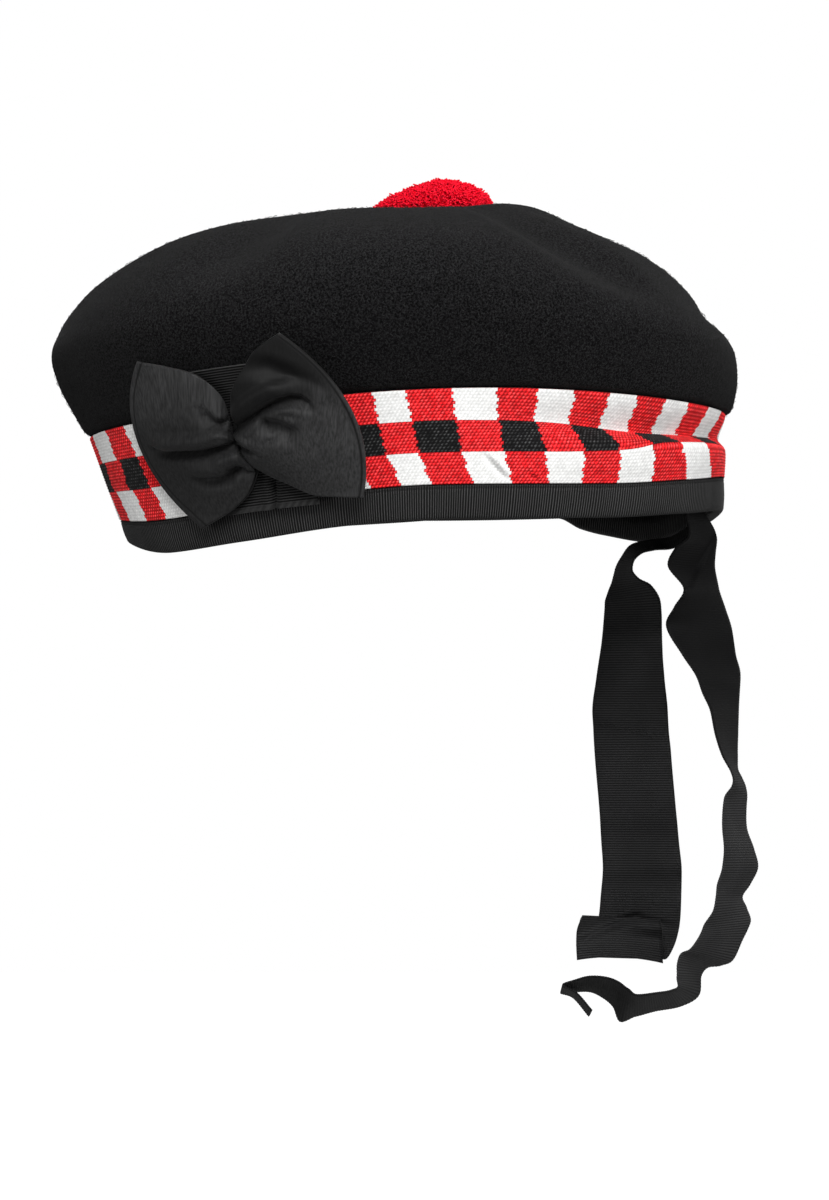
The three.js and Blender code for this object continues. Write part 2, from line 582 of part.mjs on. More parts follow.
// A flattened ball, and a short lock of wool standing out of it at each step of a spiral round it
function buildToorie() {
  const middle = TOORIE.base + TOORIE.half;
  const ball = new THREE.SphereGeometry(1, 16, 10);
  ball.scale(TOORIE.radius, TOORIE.half, TOORIE.radius);
  ball.rotateX(Math.PI / 2);
  ball.translate(0, TOORIE.y, middle);
  let solid = toManifold(ball);
  for (let i = 0; i < TOORIE.locks; i += 1) {
    const rise = mix(0.98, -0.25, (i + 0.5) / TOORIE.locks);
    const flat = Math.sqrt(1 - rise * rise);
    const theta = i * GOLDEN_ANGLE;
    const out = new THREE.Vector3(flat * Math.cos(theta), flat * Math.sin(theta), rise);
    const foot = out.clone().multiply(new THREE.Vector3(TOORIE.radius, TOORIE.radius, TOORIE.half));
    const normal = out.clone().divide(new THREE.Vector3(TOORIE.radius, TOORIE.radius, TOORIE.half)).normalize();
    const lock = new THREE.ConeGeometry(TOORIE.lockRadius, TOORIE.lockLength, 5);
    lock.applyQuaternion(new THREE.Quaternion().setFromUnitVectors(new THREE.Vector3(0, 1, 0), normal));
    lock.translate(foot.x, foot.y + TOORIE.y, foot.z + middle);
    solid = solid.add(toManifold(lock));
  }
  return fromManifold(solid);
}

const bonnet = new THREE.Group();
bonnet.name = "balmoral_bonnet";

function addPiece(name, geometry, finish) {
  const mesh = new THREE.Mesh(geometry, new THREE.MeshStandardMaterial(finish));
  mesh.name = name;
  bonnet.add(mesh);
}

addPiece("crown", buildCrown(), FELT);
addPiece("diced_band", buildTape(), TAPE);
addPiece("rim_binding", buildBinding(), RIBBON);
addPiece("cockade_backing", buildBacking(), RIBBON);
addPiece("cockade_bow", cloth(bowPoint, BOW_STEPS, BOW_COLUMNS, RIBBON_WALL), RIBBON);
addPiece("tail_left", buildTail(TAIL_LEFT), RIBBON);
addPiece("tail_right", buildTail(TAIL_RIGHT), RIBBON);
addPiece("toorie", buildToorie(), WOOL);

export default bonnet;
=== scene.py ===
"""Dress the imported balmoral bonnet: felt, woven dicing, ribbed ribbon and cut wool, under soft studio light.

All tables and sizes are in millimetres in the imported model's frame: the wearer faces -Y, their left is +X
and +Z is up. Meshes are written in metres.
"""

import logging
import math
from dataclasses import dataclass
from enum import Enum
from typing import Any, Callable, Dict, List, Optional, Sequence, Tuple, Union

import bpy
import numpy as np
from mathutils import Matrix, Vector, noise

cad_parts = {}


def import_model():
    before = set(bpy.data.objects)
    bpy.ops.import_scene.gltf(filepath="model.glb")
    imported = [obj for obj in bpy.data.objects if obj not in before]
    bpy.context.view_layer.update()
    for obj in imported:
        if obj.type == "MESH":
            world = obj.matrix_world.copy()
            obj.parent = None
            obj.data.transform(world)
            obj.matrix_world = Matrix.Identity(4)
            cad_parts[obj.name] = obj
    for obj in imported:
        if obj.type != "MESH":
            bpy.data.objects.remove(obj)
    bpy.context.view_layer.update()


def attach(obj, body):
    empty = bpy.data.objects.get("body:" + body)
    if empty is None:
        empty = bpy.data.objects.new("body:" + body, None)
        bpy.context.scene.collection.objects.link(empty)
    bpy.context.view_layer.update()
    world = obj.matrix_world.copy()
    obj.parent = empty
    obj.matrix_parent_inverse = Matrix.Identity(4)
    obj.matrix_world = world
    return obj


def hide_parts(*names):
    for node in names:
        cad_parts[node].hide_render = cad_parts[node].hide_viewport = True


Array = np.ndarray
Colour = Tuple[float, float, float]
Surface = Callable[[Array, Array], Array]
LOG = logging.getLogger("bonnet")
METRE = 0.001
SLOPE_STEP = 0.01
RIBBON_STEP_U = 0.004
FINE_STEPS = 4001


class Slot(str, Enum):
    """Material slots."""

    FELT = "black_felt"
    TAPE = "diced_tape"
    RIBBON = "black_ribbon"
    WOOL = "red_wool"


class Held(str, Enum):
    """Ways in which a sheet of cloth is held."""

    HUNG = "hung"
    GATHERED = "gathered"
    FOLDED = "folded"
    STRETCHED = "stretched"
    LAID = "laid"


class Yarn(Enum):
    """Yarn colours of the dicing: red, green and blue, and how dark the painted shade in the gaps between its
    grains is, which also sets the strength of the painted highlight on its grains.
    """

    RED = (0.93, 0.014, 0.019, 0.88)
    BLACK = (0.0050, 0.0052, 0.0055, 0.75)
    WHITE = (0.71, 0.71, 0.70, 0.24)


class Table:
    """Rows of numbers under named columns."""

    def __init__(self, names: str, *rows: Tuple[float, ...]) -> None:
        """Keep the rows as one array.

        Args:
            names: The column names, in order, with spaces between.
            rows: One tuple of numbers for each row.
        """
        self.names: List[str] = names.split()
        self.values: Array = np.array(rows, float)

    def column(self, name: str) -> Array:
        """Return one column as an array."""
        return self.values[:, self.names.index(name)]

    def track(self, name: str, wanted: Array, by: str = "") -> Array:
        """Read a column between its rows on a smooth curve.

        Args:
            name: The column to read.
            wanted: Where to read it, along the column `by`, or along the row numbers.
            by: The column that gives each row's place.

        Returns:
            The values at the wanted places.
        """
        at = self.column(by) if by else np.arange(len(self.values), dtype=float)
        wanted = np.asarray(wanted, float)
        return monotone(at[:, None], self.column(name)[:, None], wanted.ravel()).reshape(wanted.shape)


def monotone(at: Array, value: Array, wanted: Array) -> Array:
    """Read smooth curves through rows without swinging past the rows on either side.

    Args:
        at: Place of each row, one column for all curves or one for each.
        value: Value of each row, in the same layout.
        wanted: One place to read on each curve.

    Returns:
        One value for each wanted place.
    """
    slope = np.diff(value, axis=0) / np.diff(at, axis=0)
    before = np.concatenate([slope[:1], slope])
    after = np.concatenate([slope, slope[-1:]])
    both = before + after
    tangent = np.where(before * after > 0, 2 * before * after / np.where(both == 0, 1, both), 0)
    index = (wanted[None] > at[1:-1]).sum(0)

    def pick(rows: Array, step: int) -> Array:
        """Take each curve's own row."""
        full = np.broadcast_to(rows, (len(rows), len(wanted)))
        return np.take_along_axis(full, (index + step)[None], 0)[0]

    gap = pick(at, 1) - pick(at, 0)
    t = np.clip((wanted - pick(at, 0)) / gap, 0, 1)
    rise = t * t * (3 - 2 * t)
    lead = t * (1 - t) ** 2 * gap * pick(tangent, 0)
    trail = t * t * (t - 1) * gap * pick(tangent, 1)
    return pick(value, 0) + (pick(value, 1) - pick(value, 0)) * rise + lead + trail


def lengths(line: Array) -> Array:
    """Return the length run along a line of points, at each point."""
    return np.concatenate([[0], np.cumsum(np.linalg.norm(np.diff(line, axis=0), axis=1))])


def hump(offset: Array, spread: float) -> Array:
    """Return a rounded hump: 1 at the middle, 0 at one spread to either side."""
    return 0.5 + 0.5 * np.cos(np.pi * np.minimum(1.0, np.abs(offset) / spread))


def turn_between(start: Array, end: Array) -> Array:
    """Return the smallest turn in degrees from one angle round the head to another."""
    return (np.asarray(end) - start + 540.0) % 360.0 - 180.0


def unit(vectors: Array) -> Array:
    """Return the vectors scaled to length 1."""
    return vectors / np.maximum(np.linalg.norm(vectors, axis=-1, keepdims=True), 1e-12)


def face_normal(surface: Surface, u: Array, v: Array, step_u: float, step_v: float) -> Array:
    """Find the direction straight out of a surface.

    Args:
        surface: The surface as a function of two parameters.
        u: First parameter.
        v: Second parameter.
        step_u: Half the step that measures the slope along u.
        step_v: Half the step that measures the slope along v.

    Returns:
        Unit vectors, one for each place.
    """
    along_u = surface(u + step_u, v) - surface(u - step_u, v)
    along_v = surface(u, v + step_v) - surface(u, v - step_v)
    return unit(np.cross(along_u, along_v))


RIM_LEVELS = Table(
    "angle level",
    (-180, 9.5), (-150, 6.0), (-120, -2.5), (-90, -7.2), (-65, -10.9), (-45, -8.5), (-20, -4.0), (0, -1.8),
    (25, -1.0), (45, 0.0), (65, 3.0), (88, 6.5), (106, 2.5), (120, -1.0), (133, 2.5), (139, 5.2), (145, 9.6),
    (180, 9.5),
)
TAPE_FOLD = Table(
    "angle low high inward outward",
    (-180, 0.34, 0.66, 0.0, 0.0), (2, 0.34, 0.66, 0.0, 0.0), (16, 0.34, 0.66, 1.4, 0.3),
    (28, 0.35, 0.64, 3.2, 1.0), (42, 0.38, 0.60, 5.0, 1.8), (60, 0.40, 0.57, 6.0, 2.0),
    (74, 0.40, 0.57, 5.2, 1.2), (88, 0.38, 0.60, 2.8, 0.2), (112, 0.34, 0.66, 0.0, 0.0),
    (180, 0.34, 0.66, 0.0, 0.0),
)
CROWN_RINGS = Table(
    "front back left right frontZ backZ leftZ rightZ",
    (121.0, 108.2, 92.5, 95.0, 34.0, 42.3, 42.8, 45.0),
    (123.8, 111.4, 95.6, 98.8, 35.2, 42.9, 43.6, 45.5),
    (129.0, 113.2, 100.0, 108.0, 43.3, 47.5, 49.6, 47.5),
    (134.4, 114.1, 104.5, 117.0, 54.0, 54.5, 58.0, 53.0),
    (136.3, 113.6, 106.5, 121.0, 62.5, 61.8, 67.0, 62.0),
    (133.2, 110.0, 105.5, 119.0, 71.5, 69.0, 76.5, 72.0),
    (124.6, 102.4, 101.0, 112.0, 83.5, 78.0, 86.5, 82.5),
    (110.3, 91.4, 92.0, 99.0, 95.2, 90.0, 96.5, 92.5),
    (90.0, 75.0, 78.0, 81.0, 104.2, 101.2, 104.3, 100.0),
    (66.0, 56.0, 60.0, 61.0, 109.2, 110.2, 110.0, 105.0),
    (43.0, 39.0, 41.0, 41.0, 111.0, 115.8, 113.6, 106.6),
    (21.0, 21.0, 21.0, 21.0, 108.4, 109.2, 109.0, 106.2),
    (0.0, 0.0, 0.0, 0.0, 105.2, 105.2, 105.2, 105.2),
)
CROWN_DENTS = Table(
    "angle spread ring span slant depth",
    (-41, 15, 7.0, 2.4, 1, 5.0), (33, 16, 7.4, 2.8, -5, 6.6), (60, 28, 8.6, 1.1, 0, 2.2),
    (88, 40, 5.7, 0.9, 0, 1.8), (8, 45, 10.0, 1.6, 0, 1.4), (148, 18, 6.6, 2.6, 4, 4.0),
    (-138, 18, 6.2, 2.4, -3, 3.6), (-84, 17, 7.6, 1.8, 2, 2.0),
)


@dataclass(frozen=True)
class HeadForm:
    """The felt's outer face, which every other piece is laid against, in millimetres."""

    rim_front: float = 105.6
    rim_back: float = 107.4
    rim_left: float = 80.7
    rim_right: float = 82.5
    front_round: float = 3.4
    front_spread: float = 26.0
    binding_height: float = 12.0
    felt_wall: float = 2.0
    air: float = 0.4

    @staticmethod
    def oval_reach(theta: Array, left: Array, right: Array, front: Array, back: Array) -> Array:
        """Return the distance to an oval given by its reach towards the four sides of the head."""
        side = np.where(np.cos(theta) >= 0, left, right)
        end = np.where(np.sin(theta) >= 0, back, front)
        reach = 1 / np.hypot(np.cos(theta) / np.maximum(side, 1e-9), np.sin(theta) / np.maximum(end, 1e-9))
        return np.where(side * end < 1e-9, 0.0, reach)

    @staticmethod
    def oval_level(theta: Array, left: Array, right: Array, front: Array, back: Array) -> Array:
        """Return the height of a ring given by its heights at the four sides of the head."""
        sides, ends = (left + right) / 2, (back + front) / 2
        roll = (left - right) / 2 * np.cos(theta)
        pitch = (back - front) / 2 * np.sin(theta)
        return (sides + ends) / 2 + roll + pitch + (sides - ends) / 2 * np.cos(2 * theta)

    @staticmethod
    def polar(theta: Array, reach: Array, level: Array) -> Array:
        """Return points from an angle, a reach and a height."""
        return np.stack([reach * np.cos(theta), reach * np.sin(theta), level], -1)

    def fold(self, degrees: Array, share: Array) -> Array:
        """Return how far the tape's fold stands out at a share of the tape's height."""
        flat = np.ravel(degrees)
        low, high, inward, outward = (TAPE_FOLD.track(name, flat, "angle") for name in TAPE_FOLD.names[1:])
        zero, one = np.zeros_like(flat), np.ones_like(flat)
        at = np.stack([-one, zero, 0.6 * low, low, high, one, 2 * one])
        out = np.stack([zero, zero, 0.8 * outward, outward, -inward, zero, zero])
        return monotone(at, out, np.ravel(share)).reshape(np.shape(degrees))

    def spans(self, theta: Array) -> Tuple[Array, Array, Array, Array]:
        """Return the rim's reach and height, and the run to the seam outwards and upwards."""
        degrees = turn_between(0.0, np.degrees(theta))
        rim = self.oval_reach(theta, self.rim_left, self.rim_right, self.rim_front, self.rim_back)
        seam = CROWN_RINGS.values[0]
        level = RIM_LEVELS.track("level", degrees, "angle")
        outwards = self.oval_reach(theta, seam[2], seam[3], seam[0], seam[1]) - rim
        upwards = self.oval_level(theta, seam[6], seam[7], seam[4], seam[5]) - level
        return rim, level, outwards, upwards

    def headband(self, theta: Array, height: Array) -> Array:
        """Return points on the headband, where height runs from 0 at the rim to 1 at the seam."""
        degrees = turn_between(0.0, np.degrees(theta))
        rim, level, outwards, upwards = self.spans(theta)
        wall = np.hypot(outwards, upwards)
        share = (height * wall - self.binding_height) / (wall - self.binding_height)
        reach = rim + outwards * height + self.fold(degrees, share)
        return self.polar(theta, reach, level + upwards * height)

    def plain_crown(self, theta: Array, ring: Array) -> Array:
        """Return points on the crown before its dents, where ring runs along the rows of the table."""
        row = {name: CROWN_RINGS.track(name, ring) for name in CROWN_RINGS.names}
        reach = self.oval_reach(theta, row["left"], row["right"], row["front"], row["back"])
        level = self.oval_level(theta, row["leftZ"], row["rightZ"], row["frontZ"], row["backZ"])
        return self.polar(theta, reach, level)

    def crown(self, theta: Array, ring: Array) -> Array:
        """Return points on the crown with its soft dents."""
        depth = np.zeros(np.shape(theta))
        for angle, spread, middle, span, slant, deep in CROWN_DENTS.values:
            turn = turn_between(angle + slant * (ring - middle), np.degrees(theta))
            depth = depth + deep * hump(turn, spread) * hump(ring - middle, span)
        normal = face_normal(self.plain_crown, theta, ring, SLOPE_STEP, SLOPE_STEP)
        return self.plain_crown(theta, ring) - normal * depth[..., None]

    def front_lift(self, theta: Array) -> Array:
        """Return how far the rim's edge rounds up at the wearer's front."""
        return self.front_round * hump(turn_between(-90.0, np.degrees(theta)), self.front_spread)

    def wall(self, theta: Array) -> Array:
        """Return the headband's height along its wall."""
        _, _, outwards, upwards = self.spans(theta)
        return np.hypot(outwards, upwards)

    def on_band(self, theta: Array, distance: Array, offset: Array) -> Array:
        """Return points a distance up the headband's wall and an offset out from it."""
        height = distance / self.wall(theta)
        normal = face_normal(self.headband, theta, height, SLOPE_STEP, SLOPE_STEP)
        return self.headband(theta, height) + normal * np.asarray(offset)[..., None]

    def on_tape(self, theta: Array, share: Array, offset: Array) -> Array:
        """Return points at a share of the way from the binding's top to the seam."""
        low = self.binding_height + self.air
        return self.on_band(theta, low + share * (self.wall(theta) - self.air - low), offset)


BOW_LEFT = Table(
    "topS topT bottomS bottomT bulge front back",
    (2.8, 3.5, 4.8, -5.0, 0.0, 8.0, 5.6),
    (1.6, 16.0, 9.0, -9.5, -3.0, 11.6, 5.2),
    (-5.0, 24.9, 6.0, -16.6, -8.0, 13.6, 5.2),
    (-15.0, 28.7, -2.0, -23.2, -13.0, 12.5, 5.2),
    (-27.0, 32.0, -16.6, -29.4, -17.5, 9.0, 5.8),
)
BOW_RIGHT = Table(
    "topS topT bottomS bottomT bulge front back",
    (2.8, 3.5, 4.8, -5.0, 0.0, 8.0, 5.6),
    (7.3, 16.6, 12.4, -10.6, 2.0, 14.0, 5.2),
    (12.4, 25.8, 21.0, -14.8, 4.5, 15.0, 5.2),
    (18.4, 34.3, 32.0, -19.6, 7.0, 12.5, 5.2),
    (24.8, 38.9, 46.2, -20.4, 8.8, 9.0, 5.8),
)
TAIL_LEFT = Table(
    "x y z tilt turn",
    (-8.0, 97.7, 0.7, -105, 80), (-11.0, 91.1, -3.6, -98, 79), (-16.0, 83.4, -4.4, -84, 80),
    (-20.0, 78.1, -5.7, -70, 80), (-23.0, 75.2, -9.1, -51, 82), (-25.0, 73.8, -13.2, -18, 81),
    (-26.5, 74.5, -16.8, -3, 75), (-27.5, 75.9, -20.0, 6, 63), (-28.0, 77.2, -24.7, 0, 53),
    (-28.0, 77.4, -29.4, -2, 51), (-28.0, 77.0, -37.6, -2, 49), (-27.5, 76.3, -54.0, -1, 40),
    (-27.0, 76.3, -66.1, -1, 31), (-27.0, 77.2, -82.4, 0, 30), (-27.0, 78.6, -99.1, 0, 30),
    (-27.0, 79.8, -113.9, 0, 28), (-27.0, 80.5, -124.0, 0, 26), (-27.0, 80.0, -134.2, 0, 23),
    (-26.6, 79.1, -143.8, -1, 20), (-25.5, 77.1, -150.7, -1, 16), (-23.0, 74.5, -155.6, -1, 19),
    (-19.5, 72.8, -155.9, -1, 19), (-18.6, 72.0, -150.1, -1, 14), (-17.2, 71.9, -143.3, -2, 22),
    (-15.2, 72.0, -141.6, -2, 28), (-13.2, 71.7, -143.6, -2, 22), (-12.0, 71.2, -149.0, -2, 3),
    (-11.4, 71.2, -153.7, -2, 3), (-11.0, 71.4, -157.5, -2, 3),
)
TAIL_RIGHT = Table(
    "x y z tilt turn",
    (13.0, 97.8, 5.6, 17, 107), (12.2, 100.5, -2.4, 14, 113), (11.0, 98.1, -7.9, 1, 121),
    (10.2, 96.7, -13.9, 1, 126), (9.6, 100.3, -21.6, 6, 117), (9.0, 99.8, -29.2, 1, 130),
    (8.4, 99.6, -36.5, -3, 143), (7.8, 103.1, -45.7, 1, 132), (7.2, 106.4, -52.6, 5, 125),
    (6.6, 107.5, -59.5, 4, 119), (6.2, 108.7, -65.6, 4, 113), (5.8, 109.5, -74.7, 3, 109),
    (5.6, 110.7, -82.5, 3, 104), (5.6, 112.4, -88.1, 8, 99), (5.7, 113.4, -90.6, 6, 100),
    (5.8, 113.8, -93.4, 2, 103), (6.0, 112.7, -97.7, 1, 109), (6.5, 112.2, -108.2, 0, 110),
    (6.9, 113.8, -116.3, -1, 114), (7.2, 114.1, -123.0, -1, 118), (7.5, 111.8, -128.8, -2, 116),
    (7.7, 110.1, -133.3, -3, 111.5), (8.0, 110.3, -138.0, 2, 116.5), (8.4, 109.1, -143.6, 3, 126.5),
    (8.7, 106.5, -149.1, -4, 124.5), (9.0, 103.2, -154.5, -16, 124), (9.2, 99.8, -155.9, -18, 122),
    (9.4, 96.6, -158.0, -12, 114), (9.6, 95.3, -162.1, -8, 109.5), (9.8, 95.0, -167.3, -24, 109),
    (10.2, 90.6, -169.8, -49, 106.5), (11.0, 82.7, -171.2, -69, 105), (12.0, 75.8, -172.4, -82, 107),
    (12.6, 71.6, -172.2, -96, 114.5), (13.0, 68.8, -168.4, -94, 108.5), (13.5, 65.0, -166.0, -92, 105.5),
    (14.2, 59.3, -164.6, -79, 102.5), (15.0, 53.5, -165.3, -85, 100), (15.6, 49.1, -166.3, -85, 97.5),
    (16.2, 53.5, -168.3, -85, 96), (16.6, 59.4, -175.0, -85, 96.5),
)
# Painted shade down the upper part of the right tail and painted light along its middle, in zones: factors on
# the ribs' painted highlight from the top to the end.
TAIL_RIGHT_LIGHT_AND_SHADE: Tuple[float, ...] = (0.0, 0.05, 0.1, 0.15, 1.4, 1.7, 1.7, 1.4, 0.4, 0.4, 0.4)
CHECK_LEVELS: Tuple[float, ...] = (0.07, 0.93, 1.07, 1.93, 2.07, 2.93)
CHECK_EDGES = Table(
    "check lowerFoot lowerHead middleFoot middleHead upperFoot upperHead",
    (-1, -68.9, -70.4, -72.2, -71.8, -73.5, -73.8), (0, -62.3, -64.0, -64.7, -65.8, -65.8, -67.2),
    (8, -5.7, -8.6, -8.9, -10.2, -10.4, -11.0), (9, 1.2, -1.3, -1.4, -2.8, -3.2, -4.1),
    (10, 10.9, 8.3, 8.0, 6.8, 6.5, 5.7), (11, 19.9, 17.9, 17.5, 16.4, 15.9, 15.1),
    (12, 28.6, 27.0, 26.7, 25.3, 24.5, 23.9), (13, 36.5, 35.6, 35.3, 33.6, 32.7, 32.2),
    (14, 45.3, 44.0, 43.4, 42.2, 41.0, 40.1), (15, 53.9, 52.2, 51.8, 50.4, 48.5, 47.1),
    (16, 64.0, 60.2, 60.6, 58.9, 56.0, 54.8), (17, 73.7, 70.0, 70.0, 69.2, 63.7, 62.5),
    (18, 87.5, 86.0, 79.0, 78.6, 71.0, 70.2), (19, 96.0, 94.5, 88.2, 87.6, 78.9, 78.6),
    (45, 291.1, 289.6, 287.8, 288.2, 286.5, 286.2),
)
CHECK_ROWS = Table(
    "angle low high",
    (-180, 0.335, 0.67), (5, 0.335, 0.67), (28, 0.335, 0.66), (42, 0.36, 0.62), (58, 0.43, 0.575),
    (76, 0.44, 0.57), (98, 0.37, 0.63), (120, 0.335, 0.67), (180, 0.335, 0.67),
)
WRINKLES = Table(
    "start end top bottom width rise",
    (14.6, 20.0, 0.33, 0.05, 1.6, 1.1),
    (24.0, 27.5, 0.17, 0.0, 1.1, 0.7),
)


@dataclass(frozen=True)
class Crease:
    """One fold in a ribbon's face: pressed in along a line, with a raised lip beside it."""

    points: Tuple[Tuple[float, float, float], ...]
    press: float
    sharp: float
    soft: float
    lip: float = 0.0
    lip_width: float = 3.5
    lip_gap: float = 0.6

    def height(self, s: Array, t: Array) -> Array:
        """Return how far the fold lifts the face at places on the ribbon's ground.

        Args:
            s: Place towards the back, in millimetres.
            t: Place upwards, in millimetres.

        Returns:
            The lift, negative where the face is pressed in.
        """
        nearest = np.full(s.shape, np.inf)
        aside, strength = np.zeros_like(s), np.zeros_like(s)
        for (s0, t0, first), (s1, t1, second) in zip(self.points, self.points[1:]):
            run_s, run_t = s1 - s0, t1 - t0
            share = np.clip(((s - s0) * run_s + (t - t0) * run_t) / (run_s ** 2 + run_t ** 2), 0, 1)
            off_s, off_t = s - s0 - share * run_s, t - t0 - share * run_t
            away = np.hypot(off_s, off_t)
            side = np.where(run_s * off_t - run_t * off_s >= 0, away, -away)
            closer = away < nearest
            nearest = np.where(closer, away, nearest)
            aside = np.where(closer, side, aside)
            strength = np.where(closer, first + (second - first) * share, strength)
        pressed = np.where(aside > 0, hump(aside, self.sharp), hump(aside, self.soft))
        lifted = hump(aside - self.sharp - self.lip_gap * self.lip_width, self.lip_width)
        return strength * (self.lip * lifted - self.press * pressed)


BOW_CREASES: Tuple[Crease, ...] = (
    Crease(((-32.0, 2.1, 0.0), (-27.7, -0.1, 0.6), (-22.3, -1.1, 1.0), (-8.0, -1.1, 1.0), (-2.1, -0.3, 1.0),
            (3.1, 0.4, 0.8), (7.8, 0.7, 0.0)), press=4.5, sharp=1.3, soft=4.4, lip=2.0, lip_width=4.0),
    Crease(((-5.5, 16.0, 0.0), (-3.8, 11.3, 0.8), (-2.1, 8.7, 1.0), (0.3, 6.9, 1.0), (2.2, 6.0, 0.4)),
           press=3.0, sharp=3.6, soft=3.2),
    Crease(((0.6, 8.0, 0.6), (2.0, 8.4, 1.0), (4.1, 8.2, 0.6)), press=3.2, sharp=2.2, soft=2.2),
    Crease(((-16.6, -10.5, 0.0), (-10.2, -11.4, 0.7), (-4.3, -11.5, 0.9), (-1.0, -11.0, 1.0),
            (1.1, -8.8, 1.0), (3.5, -7.9, 1.0), (5.4, -8.6, 0.5)),
           press=3.8, sharp=1.4, soft=4.5, lip=1.7, lip_width=3.4),
    Crease(((4.0, 5.6, 0.3), (10.1, 8.3, 0.8), (16.3, 12.5, 0.9), (19.4, 14.5, 1.0), (22.6, 15.9, 1.0),
            (25.7, 16.4, 1.0), (28.6, 15.8, 0.8), (30.9, 13.9, 0.5), (32.6, 10.5, 0.0)),
           press=4.8, sharp=2.2, soft=4.6, lip=1.8, lip_width=3.6),
    Crease(((9.3, 3.8, 0.3), (13.3, 7.3, 0.8), (17.6, 11.0, 1.0), (22.4, 12.8, 1.0), (26.7, 12.4, 1.0),
            (30.0, 10.5, 0.4)), press=-1.2, sharp=2.4, soft=2.4),
    Crease(((14.5, 7.0, 0.0), (18.0, 7.4, 1.0), (21.6, 6.3, 1.0), (24.6, 4.6, 0.9), (29.0, 3.6, 0.0)),
           press=4.4, sharp=4.2, soft=6.4),
    Crease(((15.5, 0.2, 0.0), (18.2, 1.7, 1.0), (21.5, 3.2, 0.0)), press=1.5, sharp=1.6, soft=2.2),
    Crease(((14.0, 28.6, 0.5), (20.4, 27.5, 1.0), (25.3, 24.4, 1.0), (29.9, 20.2, 0.8), (36.0, 15.5, 0.0)),
           press=3.2, sharp=6.0, soft=6.0),
    Crease(((35.0, 17.5, 0.0), (40.5, 10.4, 1.0), (43.3, 3.0, 1.0), (45.1, -6.0, 0.0)),
           press=0.9, sharp=4.5, soft=4.5),
    Crease(((1.9, 2.6, 0.2), (4.5, 0.4, 0.8), (8.3, -1.2, 1.0), (12.6, -2.8, 0.2)),
           press=3.2, sharp=1.3, soft=2.4, lip=1.2, lip_width=2.4),
    Crease(((2.0, 5.8, 1.0), (3.2, 4.6, 1.0), (5.5, 5.6, 0.6)), press=1.8, sharp=1.6, soft=1.6),
)
BACKING_CREASES: Tuple[Crease, ...] = (
    Crease(((12.4, -27.0, 1.0), (13.6, -16.0, 1.0), (14.0, -9.0, 0.3)),
           press=1.8, sharp=1.3, soft=2.6, lip=0.5, lip_width=2.0),
)
TAIL_LEFT_CREASES: Tuple[Crease, ...] = (
    Crease(((58.0, -30.0, 1.0), (98.0, -30.0, 1.0)), press=2.2, sharp=9.0, soft=9.0),
    Crease(((58.0, -47.0, 0.4), (98.0, -47.0, 1.0)), press=1.6, sharp=6.0, soft=9.0),
    Crease(((58.0, -64.5, 1.0), (98.0, -73.0, 1.0)), press=3.6, sharp=22.0, soft=8.0),
    Crease(((58.0, -112.0, 1.0), (98.0, -114.0, 1.0)), press=1.5, sharp=9.0, soft=12.0),
    Crease(((58.0, -131.0, 1.0), (98.0, -128.0, 1.0)), press=1.3, sharp=7.0, soft=8.0),
    Crease(((57.5, -150.2, 0.4), (60.8, -148.4, 0.8), (67.8, -145.1, 1.0), (74.6, -142.5, 1.0),
            (78.8, -141.0, 1.0), (81.4, -142.9, 1.0), (86.5, -143.6, 0.6), (92.0, -144.7, 0.2)),
           press=1.8, sharp=2.2, soft=3.0),
)
TAIL_RIGHT_CREASES: Tuple[Crease, ...] = (
    Crease(((107.0, 2.2, 1.0), (94.6, -21.1, 0.8)), press=3.0, sharp=2.5, soft=12.0),
    Crease(((94.0, -46.0, 0.6), (116.0, -52.0, 1.0)), press=1.4, sharp=9.0, soft=7.0),
)


def ring_faces(first: int, second: int, count: int) -> Array:
    """Return the quads between two rings of points, given each ring's first index."""
    i = np.arange(count)
    k = (i + 1) % count
    return np.stack([first + i, first + k, second + k, second + i], -1)


def make_object(name: str, points: Array, faces: Sequence[Sequence[int]]) -> bpy.types.Object:
    """Make a smooth mesh object at the origin.

    Args:
        name: The piece's name.
        points: Its points in millimetres.
        faces: Its faces as point numbers.

    Returns:
        The new object, linked to the scene.
    """
    mesh = bpy.data.meshes.new(name)
    mesh.from_pydata((np.asarray(points) * METRE).tolist(), [], faces)
    mesh.polygons.foreach_set("use_smooth", np.ones(len(mesh.polygons), bool))
    piece = bpy.data.objects.new(name, mesh)
    bpy.context.scene.collection.objects.link(piece)
    return piece


def ring_solid(name: str, rings: Array, pole_after: Optional[int] = None,
               poles: Sequence[Sequence[float]] = ()) -> bpy.types.Object:
    """Make a closed ring-shaped or domed shell from rings of points in order, the last joined to the first.

    Args:
        name: The piece's name.
        rings: Points by ring and by place round the ring.
        pole_after: The ring after which the skin closes on the first pole and starts again from the second.
        poles: The two pole points, where the skin closes.

    Returns:
        The new object.
    """
    total, count = rings.shape[:2]
    points = np.concatenate([rings.reshape(-1, 3), np.array(poles, float).reshape(-1, 3)])
    faces: List[List[int]] = []
    for ring in range(total):
        after = (ring + 1) % total
        if ring != pole_after:
            faces += ring_faces(ring * count, after * count, count).tolist()
            continue
        for i in range(count):
            k = (i + 1) % count
            faces.append([ring * count + i, ring * count + k, total * count])
            faces.append([total * count + 1, after * count + k, after * count + i])
    return make_object(name, points, faces)


